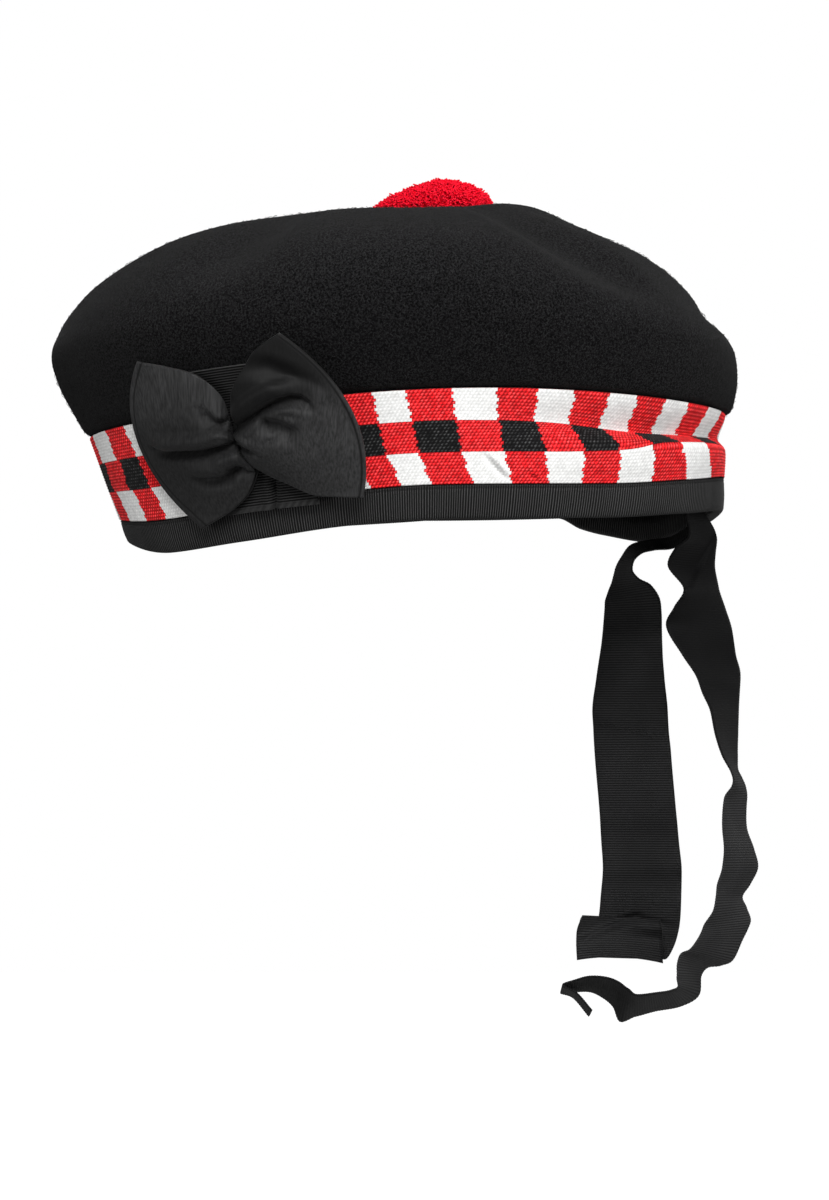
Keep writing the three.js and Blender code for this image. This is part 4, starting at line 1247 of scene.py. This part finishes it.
@dataclass
class RimBinding:
    """The ribbed ribbon folded over the rim, with a sewn line near its upper edge."""

    form: HeadForm
    finish: RibbonFinish
    stitch_finish: RibbonFinish
    ribs: int = 620
    samples: int = 4
    rib_height: float = 0.13
    rib_waver: Tuple[Tuple[float, int], ...] = ((0.30, 37), (0.22, 71))
    inside: float = 10.0
    face: float = 1.4
    rear_wall: float = 1.0
    crowned: float = 0.22
    crowned_middle: float = 5.5
    stitches: int = 132
    stitch_length: float = 2.3
    stitch_width: float = 0.24
    stitch_level: float = 10.95
    stitch_sink: float = 0.06

    def section(self) -> Table:
        """Return the binding's section: offset from the felt, distance up, and how strong its ribs are, both
        in relief and in their painted highlight and shade.
        """
        face, air, height = self.face, self.form.air, self.form.binding_height
        lining = -self.form.felt_wall - air
        rear = lining - self.rear_wall
        return Table(
            "offset up rib",
            (0.2, 0.0, 0.6), (0.75, 0.15, 0.8), (1.2, 0.55, 1.0), (face, 1.2, 1.0), (face, 2.6, 1.0),
            (face, 4.4, 1.0), (face, 6.2, 1.0), (face, 8.0, 1.0), (face, 9.6, 1.0), (face, 10.5, 1.0),
            (face - 0.22, 10.9, 0.7), (face - 0.04, 11.3, 0.8), (face - 0.08, 11.7, 0.8),
            (face - 0.3, height, 0.4), (air, height, 0.0), (air, 1.0, 0.0), (lining, 1.0, 0.0),
            (lining, self.inside, 0.0),
            (rear, self.inside, 0.5), (rear, 6.0, 1.0), (rear, 1.2, 1.0), (rear + 0.35, 0.4, 0.8),
            (rear + 1.2, 0.0, 0.6),
        )

    def build(self) -> bpy.types.Object:
        """Return the ribbed binding."""
        count = self.ribs * self.samples
        turn = np.arange(count) / count
        uneven = sum(share / self.ribs * np.sin(2 * np.pi * turn * waves) for share, waves in self.rib_waver)
        theta = 2 * np.pi * (turn + uneven / 2)
        wave = np.cos(2 * np.pi * np.arange(count) / self.samples)
        rings, crest_highlight = [], []
        for offset, up, rib in self.section().values:
            outside = 1.0 if offset > 0 else -1.0
            crowned = self.crowned * hump(up - self.crowned_middle, self.crowned_middle)
            swell = crowned if offset >= self.face else 0.0
            rise = offset + swell + outside * rib * self.rib_height * wave
            level = up + self.form.front_lift(theta) * (1 - up / self.form.binding_height)
            rings.append(self.form.on_band(theta, level, rise))
            # Painted highlight on the top of each rib and painted shade between ribs.
            crest_highlight.append(0.5 + 0.5 * wave * rib)
        piece = ring_solid("rim_ribbon", np.array(rings))
        store(piece, "rib", np.ravel(crest_highlight))
        return piece

    def sew(self) -> bpy.types.Object:
        """Return the stitches near the binding's upper edge."""
        theta = np.arange(self.stitches) * 2 * np.pi / self.stitches
        level = np.full_like(theta, self.stitch_level)
        out = np.full_like(theta, self.face - self.stitch_sink)
        after, before = (self.form.on_band(theta + step, level, out) for step in (SLOPE_STEP, -SLOPE_STEP))
        cloud = point_cloud(self.form.on_band(theta, level, out), {}, {"run": unit(after - before)})
        grower = Grower("rim_stitches", {"Length": self.stitch_length * METRE,
                                         "Width": self.stitch_width * METRE,
                                         "Finish": self.stitch_finish.make()})
        ball = grower.add("GeometryNodeMeshIcoSphere", {"Radius": 0.5, "Subdivisions": 1})
        stretch = grower.add("ShaderNodeCombineXYZ", {"X": "@Width", "Y": "@Width", "Z": "@Length"})
        shaped = grower.add("GeometryNodeTransform",
                            {"Geometry": ball.outputs["Mesh"], "Scale": stretch.outputs[0]})
        return grower.grow(cloud, "@Geometry", shaped.outputs["Geometry"], grower.facing("run"),
                           grower.chance(0.8, 1.1, 2), "rim_stitches")

    def dress(self) -> List[bpy.types.Object]:
        """Build the binding and its stitches, and settle both."""
        piece = self.build()
        settle(piece, ["rim_binding"], self.finish.make())
        stitches = self.sew()
        settle(stitches, [])
        return [piece, stitches]


@dataclass
class Cockade:
    """The ribbon backing and the bow at the wearer's left temple."""

    form: HeadForm
    backing_finish: RibbonFinish
    bow_finish: RibbonFinish
    angle: float = -41.0
    height: float = 0.76
    lean: float = 19.5
    bend: float = 112.0
    cup: float = 0.0031
    facing: float = -31.0
    backing_width: float = 38.0
    backing_length: float = 52.0
    backing_middle: float = 9.0
    backing_drop: float = 1.2
    backing_twist: float = 4.5
    backing_stand: float = 3.8
    backing_ribs: int = 56
    backing_samples: int = 4
    backing_columns: int = 48
    backing_relief: float = 0.1
    backing_fray: float = 0.025
    fray_waves: Tuple[float, float, float] = (150.0, 67.0, 90.0)
    wall: float = 0.8
    bow_wall: float = 0.7
    bow_round: float = 0.5
    bow_steps: int = 360
    bow_columns: int = 100
    bow_start: float = 1.47
    bow_sweep: float = 1.94
    bow_close: float = 0.70
    bow_crown: float = 2.2
    bow_flare: float = 0.65
    bow_tuck: float = 2.2
    bow_least: float = 1.7
    hem_left: float = 0.955
    hem_right: float = 0.98
    hem_width: float = 0.012
    hem_depth: float = 0.08
    # Painted light and shade on the bow's two wings: the left wing painted lighter at its top and darker
    # below, the right wing painted bright below and dark at its top; level and spread place the change up the
    # wings.
    light_and_shade_level: float = 1.6
    light_and_shade_spread: float = 0.55
    light_and_shade_left: Tuple[float, float] = (0.52, 0.56)
    light_and_shade_right: Tuple[float, float] = (0.88, -0.78)

    def place(self, s: Array, t: Array, d: Array) -> Array:
        """Return points on the cockade's ground: s to the back, t up the headband, d out from the felt."""
        angle, facing, lean = (math.radians(x) for x in (self.angle, self.facing, self.lean))
        seat = self.form.headband(np.array([angle]), np.array([self.height]))[0]
        turn = facing + s / self.bend
        away = d + self.cup * t * t
        radial = self.bend + away * math.cos(lean) + t * math.sin(lean)
        level = t * math.cos(lean) - away * math.sin(lean)
        out = np.stack([np.cos(turn), np.sin(turn), np.zeros_like(turn)], -1) * radial[..., None]
        straight = np.array([math.cos(facing), math.sin(facing), 0.0]) * self.bend
        return seat - straight + out + np.stack([np.zeros_like(level), np.zeros_like(level), level], -1)

    def backing_surface(self, u: Array, v: Array) -> Array:
        """Return points on the backing's middle surface."""
        twist = math.radians(self.backing_twist)
        along, across = (u - 0.5) * self.backing_length, (v - 0.5) * self.backing_width
        s = self.backing_middle - along * math.sin(twist) + across * math.cos(twist)
        t = self.backing_drop + along * math.cos(twist) + across * math.sin(twist)
        return self.place(s, t, self.backing_stand + sum(crease.height(s, t) for crease in BACKING_CREASES))

    def build_backing(self) -> bpy.types.Object:
        """Return the ribbed backing, frayed along its lower edge."""
        steps = self.backing_ribs * self.backing_samples
        u, v = cloth_grid(np.linspace(0, 1, steps + 1), self.backing_columns)
        wave = np.cos(2 * np.pi * u * self.backing_ribs)
        first, second, slant = self.fray_waves
        fray = 0.5 + 0.5 * np.sin(first * v) * np.sin(second * v + slant * u)
        edge = np.clip(2 - u / self.backing_fray, 0, 1)
        relief = self.backing_relief * (wave + edge * (fray - wave))
        return ribbed_cloth("cockade_ribbon", self.backing_surface, (u, v), self.wall, relief)

    def bow_turn(self, u: Array) -> Array:
        """Return the angle round the bow's loops for places along its ribbon."""
        return np.pi * (self.bow_start - self.bow_sweep * u)

    def bow_surface(self, u: Array, v: Array) -> Array:
        """Return points on the bow's middle surface: u runs round the loops, v from lower to upper edge."""
        turn = self.bow_turn(u)
        out = np.abs(np.cos(turn))
        right = np.cos(turn) >= 0
        last = len(BOW_LEFT.values) - 1
        row = {name: np.where(right, BOW_RIGHT.track(name, out * last), BOW_LEFT.track(name, out * last))
               for name in BOW_LEFT.names}
        side = np.sign(np.sin(turn)) * np.abs(np.sin(turn)) ** self.bow_round
        upward = 2 * v - 1
        s = row["bottomS"] + (row["topS"] - row["bottomS"]) * v + row["bulge"] * (1 - upward * upward)
        s = s - self.bow_tuck * np.clip(-side, 0, 1) * v * ~right
        t = row["bottomT"] + (row["topT"] - row["bottomT"]) * v
        flare = self.bow_flare * np.clip(3 * out, 0, 1) * (right & (upward > 0))
        closed = 1 - (self.bow_close - flare) * np.abs(upward) ** self.bow_crown
        depth = row["back"] + (row["front"] - row["back"]) * (0.5 + 0.5 * side) * closed
        face = np.clip(2 * side, 0, 1)
        for crease in BOW_CREASES:
            depth = depth + face * crease.height(s, t)
        least = row["back"] + self.bow_least * face
        return self.place(s, t, np.where(side > 0, np.maximum(depth, least), depth))

    def build_bow(self) -> bpy.types.Object:
        """Return the bow."""
        u, v = cloth_grid(np.linspace(0, 1, self.bow_steps + 1), self.bow_columns)
        out = np.cos(self.bow_turn(u))
        groove = hump(np.where(out > 0, out - self.hem_right, -out - self.hem_left), self.hem_width)
        # Painted light and shade up each wing, as a factor on the ribs' painted highlight.
        rise = hump(np.minimum(0.0, 2 * v - self.light_and_shade_level), self.light_and_shade_spread)
        left, right = (base + more * rise for base, more in (self.light_and_shade_left, self.light_and_shade_right))
        return ribbed_cloth("bow_ribbon", self.bow_surface, (u, v), self.bow_wall, -self.hem_depth * groove,
                            np.where(out > 0, right, left))

    def dress(self) -> List[bpy.types.Object]:
        """Build the backing and the bow, and settle both."""
        backing = self.build_backing()
        settle(backing, ["cockade_backing"], self.backing_finish.make())
        bow = self.build_bow()
        settle(bow, ["cockade_bow"], self.bow_finish.make())
        return [backing, bow]


@dataclass
class Tail:
    """One ribbon that hangs from inside the back of the rim, with fine ribs across it."""

    name: str
    node: str
    rows: Table
    finish: RibbonFinish
    creases: Tuple[Crease, ...] = ()
    end_arc: float = 0.0
    # Painted light and shade along the ribbon, from its top to its end, as factors on the ribs' painted
    # highlight.
    light_and_shade: Tuple[float, ...] = (1.0, 1.0)
    width: float = 31.5
    wall: float = 0.6
    rib_pitch: float = 0.9
    rib_height: float = 0.05
    samples: int = 4
    columns: int = 20
    path_step: float = 0.0005
    end_rows: int = 3

    def path(self, t: Array) -> Array:
        """Return points along the ribbon's middle line: a smooth curve through the rows."""
        points = np.stack([self.rows.column(axis) for axis in "xyz"], -1)
        points = np.concatenate([2 * points[:1] - points[1:2], points, 2 * points[-1:] - points[-2:-1]])
        place = np.clip(t, 0, 1) * (len(points) - 3)
        index = np.minimum(place.astype(int), len(points) - 4)
        p0, p1, p2, p3 = (points[index + k] for k in range(4))
        d0, d1, d2 = (np.sqrt(np.linalg.norm(b - a, axis=-1, keepdims=True))
                      for a, b in ((p0, p1), (p1, p2), (p2, p3)))
        t1 = ((p1 - p0) / d0 - (p2 - p0) / (d0 + d1) + (p2 - p1) / d1) * d1
        t2 = ((p2 - p1) / d1 - (p3 - p1) / (d1 + d2) + (p3 - p2) / d2) * d1
        w = (place - index)[..., None]
        return p1 + t1 * w + (3 * (p2 - p1) - 2 * t1 - t2) * w ** 2 + (2 * (p1 - p2) + t1 + t2) * w ** 3

    def surface(self, u: Array, v: Array) -> Array:
        """Return points on the ribbon's middle surface, with its creases and its hollow end."""
        t = np.clip(u, 0, 1)
        last = len(self.rows.values) - 1
        tilt, turn = (np.radians(self.rows.track(name, t * last)) for name in ("tilt", "turn"))
        across = np.stack([np.sin(turn), np.cos(tilt) * np.cos(turn), np.sin(tilt) * np.cos(turn)], -1)
        run = unit(self.path(t + self.path_step) - self.path(t - self.path_step))
        past, aside = (u - t) * self.width, (v - 0.5) * self.width
        points = self.path(t) + run * past[..., None] + across * aside[..., None]
        for crease in self.creases:
            points[..., 0] += crease.height(points[..., 1], points[..., 2])
        near_end = np.clip((t * last - last + self.end_rows) / self.end_rows, 0, 1)
        points[..., 2] += self.end_arc * near_end * (1 - (2 * v - 1) ** 2)
        return points

    def dress(self) -> List[bpy.types.Object]:
        """Build the ribbon and settle it."""
        fine = np.linspace(0, 1, FINE_STEPS)
        run = lengths(self.path(fine))
        ribs = int(run[-1] / self.rib_pitch)
        steps = np.interp(np.linspace(0, run[-1], ribs * self.samples + 1), run, fine)
        u, v = cloth_grid(steps, self.columns)
        wave = np.cos(2 * np.pi * np.arange(len(steps)) / self.samples)[:, None] * np.ones_like(v)
        # Painted light and shade of each row, spread along the ribbon.
        light_and_shade = np.interp(u, np.linspace(0, 1, len(self.light_and_shade)), self.light_and_shade)
        piece = ribbed_cloth(self.name, self.surface, (u, v), self.wall, self.rib_height * wave, light_and_shade)
        settle(piece, [self.node], self.finish.make())
        return [piece]


@dataclass
class Toorie:
    """The red pompom: a flattened head of cut wool strands on a small firm core."""

    finish: WoolFinish
    y: float = 3.2
    radius: float = 21.6
    half: float = 9.8
    base: float = 107.3
    over: Tuple[float, float, float] = (1.0, 1.0, 1.3)
    core_share: float = 0.90
    core_around: int = 40
    core_rings: int = 22
    core_steepest: float = 84.0
    core_along: float = 0.4
    core_shade: float = 0.5
    lean: float = 0.22
    front_slope: float = 0.34
    back_slope: float = 0.05
    seat_fill: float = 0.3
    strands: int = 9000
    strand_width: float = 0.6
    highest: float = 0.995
    fall: float = 1.55
    root_sink: float = 0.03
    splay: float = 0.12
    rough: float = 0.7
    scatter: Tuple[float, float, float] = (0.6, 0.6, 0.5)
    shade_curve: Tuple[float, float] = (2.4, 1.5)
    seed: int = 23

    def form(self, out: Array, share: Array) -> Array:
        """Return points at a share of the way from the middle to the wool's form, along unit directions."""
        size = np.array([self.radius, self.radius, self.half]) + self.over
        slope = self.front_slope * np.maximum(0.0, -out[..., 1]) * np.maximum(0.0, out[..., 2])
        slope = slope + self.back_slope * np.maximum(0.0, out[..., 1])
        points = out * size * (np.asarray(share) * (1 - slope))[..., None]
        points[..., 2] *= 1 + self.seat_fill * (out[..., 2] < 0) * (1 - out[..., 2] ** 2)
        points[..., 1] += self.lean * points[..., 2]
        return points + np.array([0.0, self.y, self.base + self.half])

    def build_core(self) -> bpy.types.Object:
        """Return the firm core under the strands."""
        theta = np.arange(self.core_around) * 2 * np.pi / self.core_around
        rings = []
        for level in np.radians(np.linspace(-self.core_steepest, self.core_steepest, self.core_rings)):
            out = np.stack([math.cos(level) * np.cos(theta), math.cos(level) * np.sin(theta),
                            np.full_like(theta, math.sin(level))], -1)
            rings.append(self.form(out, np.full_like(theta, self.core_share)))
        ends = self.form(np.array([[0.0, 0.0, 1.0], [0.0, 0.0, -1.0]]), np.full(2, self.core_share))
        core = ring_solid("toorie_core", np.array(rings), len(rings) - 1, ends)
        # The core takes the wool's colour part way from the root's painted shade to the body.
        for name, value in (("along", self.core_along), ("shade", self.core_shade)):
            store(core, name, np.full(len(core.data.vertices), value))
        return core

    def grow_wool(self, material: bpy.types.Material) -> bpy.types.Object:
        """Return the strands of cut wool."""
        random = np.random.default_rng(self.seed)
        number = np.arange(self.strands)
        rise = self.highest - self.fall * (number + 0.5) / self.strands
        flat = np.sqrt(np.maximum(0.0, 1 - rise * rise))
        theta = number * math.pi * (3 - math.sqrt(5))
        out = np.stack([flat * np.cos(theta), flat * np.sin(theta), rise], -1)
        roots = self.form(out, np.full(self.strands, self.core_share - self.root_sink))
        tips = self.form(unit(out + random.normal(0, self.splay, out.shape)), np.ones(self.strands))
        tips += random.normal(0, self.rough, tips.shape) * np.array(self.scatter)
        reach = np.linalg.norm(tips - roots, axis=1)
        shade = random.beta(*self.shade_curve, self.strands)
        cloud = point_cloud(roots, {"shade": shade, "reach": reach * METRE}, {"out": unit(tips - roots)})
        grower = Grower("toorie_wool", {"Width": self.strand_width * METRE, "Finish": material})
        lock = grower.add("GeometryNodeMeshCylinder",
                          {"Vertices": 4, "Side Segments": 1, "Radius": 0.5, "Depth": 1.0})
        spot = grower.add("GeometryNodeInputPosition")
        parts = grower.add("ShaderNodeSeparateXYZ", {0: spot.outputs[0]})
        height = grower.add("ShaderNodeMath", {0: parts.outputs["Z"], 1: 0.5}, operation="ADD")
        marked = grower.add("GeometryNodeStoreNamedAttribute",
                            {"Geometry": lock.outputs["Mesh"], "Name": "along", "Value": height.outputs[0]},
                            data_type="FLOAT", domain="POINT")
        lifted = grower.add("GeometryNodeTransform", {"Geometry": marked.outputs["Geometry"],
                                                      "Translation": (0.0, 0.0, 0.5)})
        size = grower.add("ShaderNodeCombineXYZ",
                          {"X": "@Width", "Y": "@Width", "Z": grower.named("reach", "FLOAT")})
        return grower.grow(cloud, "@Geometry", lifted.outputs["Geometry"], grower.facing("out"),
                           size.outputs[0], "toorie_wool")

    def dress(self) -> List[bpy.types.Object]:
        """Build the core and its wool, and settle both."""
        material = self.finish.make()
        core = self.build_core()
        settle(core, ["toorie"], material)
        wool = self.grow_wool(material)
        settle(wool, ["toorie"])
        return [core, wool]


@dataclass
class Studio:
    """The pale floor, the soft lights and the camera."""

    finish: FloorFinish
    floor_level: float = -0.62
    floor_reach: float = 12.0
    target: Tuple[float, float, float] = (0.0, -0.0038, -0.0255)
    distance: float = 1.5
    elevation: float = -3.0
    frame_height: float = 0.438
    sensor: float = 24.0
    world_light: float = 0.16

    def lay_floor(self) -> None:
        """Lay the floor, apart from the object."""
        reach, level = self.floor_reach, self.floor_level
        corners = np.array([(-reach, -reach, level), (reach, -reach, level), (reach, reach, level),
                            (-reach, reach, level)]) / METRE
        floor = make_object("studio_floor", corners, [[0, 1, 2, 3]])
        floor.data.materials.append(self.finish.make())

    def light_world(self) -> None:
        """Fill the room with soft white light, and show the camera plain white."""
        world = bpy.data.worlds.new("studio_world")
        bpy.context.scene.world = world
        world.use_nodes = True
        nodes, links = world.node_tree.nodes, world.node_tree.links
        plain = nodes["Background"]
        plain.inputs["Color"].default_value = (1.0, 1.0, 1.0, 1.0)
        plain.inputs["Strength"].default_value = self.world_light
        shown = nodes.new("ShaderNodeBackground")
        shown.inputs["Color"].default_value = (1.0, 1.0, 1.0, 1.0)
        shown.inputs["Strength"].default_value = 1.0
        rays, blend = nodes.new("ShaderNodeLightPath"), nodes.new("ShaderNodeMixShader")
        links.new(rays.outputs["Is Camera Ray"], blend.inputs[0])
        links.new(plain.outputs[0], blend.inputs[1])
        links.new(shown.outputs[0], blend.inputs[2])
        links.new(blend.outputs[0], nodes["World Output"].inputs["Surface"])

    def add_light(self, name: str, place: Tuple[float, float, float], size: float, power: float) -> None:
        """Add a square soft light that faces the bonnet.

        Args:
            name: The light's name.
            place: Where it stands, in metres.
            size: Its side, in metres.
            power: Its power, in watts.
        """
        data = bpy.data.lights.new(name, "AREA")
        data.energy = power
        data.size = size
        lamp = bpy.data.objects.new(name, data)
        lamp.location = place
        lamp.rotation_euler = (Vector((0.0, 0.0, 0.05)) - Vector(place)).to_track_quat("-Z", "Y").to_euler()
        bpy.context.scene.collection.objects.link(lamp)

    def set_camera(self) -> None:
        """Stand the camera at the photograph's viewing angle."""
        data = bpy.data.cameras.new("photo_camera")
        data.sensor_fit = "VERTICAL"
        data.sensor_height = self.sensor
        data.lens = self.sensor * self.distance / self.frame_height
        camera = bpy.data.objects.new("photo_camera", data)
        rise = math.radians(self.elevation)
        target = Vector(self.target)
        camera.location = target + Vector((math.cos(rise), 0.0, math.sin(rise))) * self.distance
        camera.rotation_euler = (target - camera.location).to_track_quat("-Z", "Y").to_euler()
        bpy.context.scene.collection.objects.link(camera)
        bpy.context.scene.camera = camera

    def dress(self) -> None:
        """Set the whole studio."""
        self.lay_floor()
        self.light_world()
        self.add_light("key", (1.7, 0.05, 1.05), 0.9, 43.0)
        self.add_light("fill", (1.2, 1.6, 0.3), 0.9, 27.0)
        self.add_light("side", (1.0, -1.7, -0.05), 0.9, 11.0)
        self.add_light("top", (0.0, 0.1, 1.7), 0.8, 26.0)
        self.set_camera()
        bpy.context.scene.view_settings.view_transform = "Standard"


def main() -> None:
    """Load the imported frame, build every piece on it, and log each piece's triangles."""
    logging.basicConfig(level=logging.INFO, format="%(message)s")
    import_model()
    form = HeadForm()
    # Each ribbon: its painted shade between ribs, then its painted highlight along the top of each rib.
    grosgrain = RibbonFinish("rim_grosgrain", (0.0003, 0.0003, 0.0003), (0.071, 0.071, 0.071), narrow=4.0)
    thread = RibbonFinish("sewing_thread", (0.006, 0.006, 0.006), (0.016, 0.016, 0.016))
    petersham = RibbonFinish("backing_ribbon", (0.0003, 0.0003, 0.0003), (0.038, 0.038, 0.038), specular=0.03,
                             narrow=2.0)
    taffeta = RibbonFinish("bow_taffeta", (0.002, 0.002, 0.002), (0.052, 0.052, 0.053), sheen=0.02,
                           grain=1500.0, streak=(1.0, 1.0, 0.08), weave=(0.35, 1.1))
    tail = RibbonFinish("tail_ribbon", (0.0025, 0.0025, 0.0026), (0.0255, 0.0255, 0.026), specular=0.05)
    Studio(FloorFinish()).dress()
    parts = (
        Crown(form, FeltFinish(), NapFinish()),
        DicedBand(form, TapeFinish()),
        RimBinding(form, grosgrain, thread),
        Cockade(form, petersham, taffeta),
        Tail("tail_ribbon_left", "tail_left", TAIL_LEFT, tail, TAIL_LEFT_CREASES, end_arc=1.6),
        Tail("tail_ribbon_right", "tail_right", TAIL_RIGHT, tail, TAIL_RIGHT_CREASES, light_and_shade=TAIL_RIGHT_LIGHT_AND_SHADE),
        Toorie(WoolFinish()),
    )
    for part in parts:
        for piece in part.dress():
            report(piece)


if __name__ == "__main__":
    main()
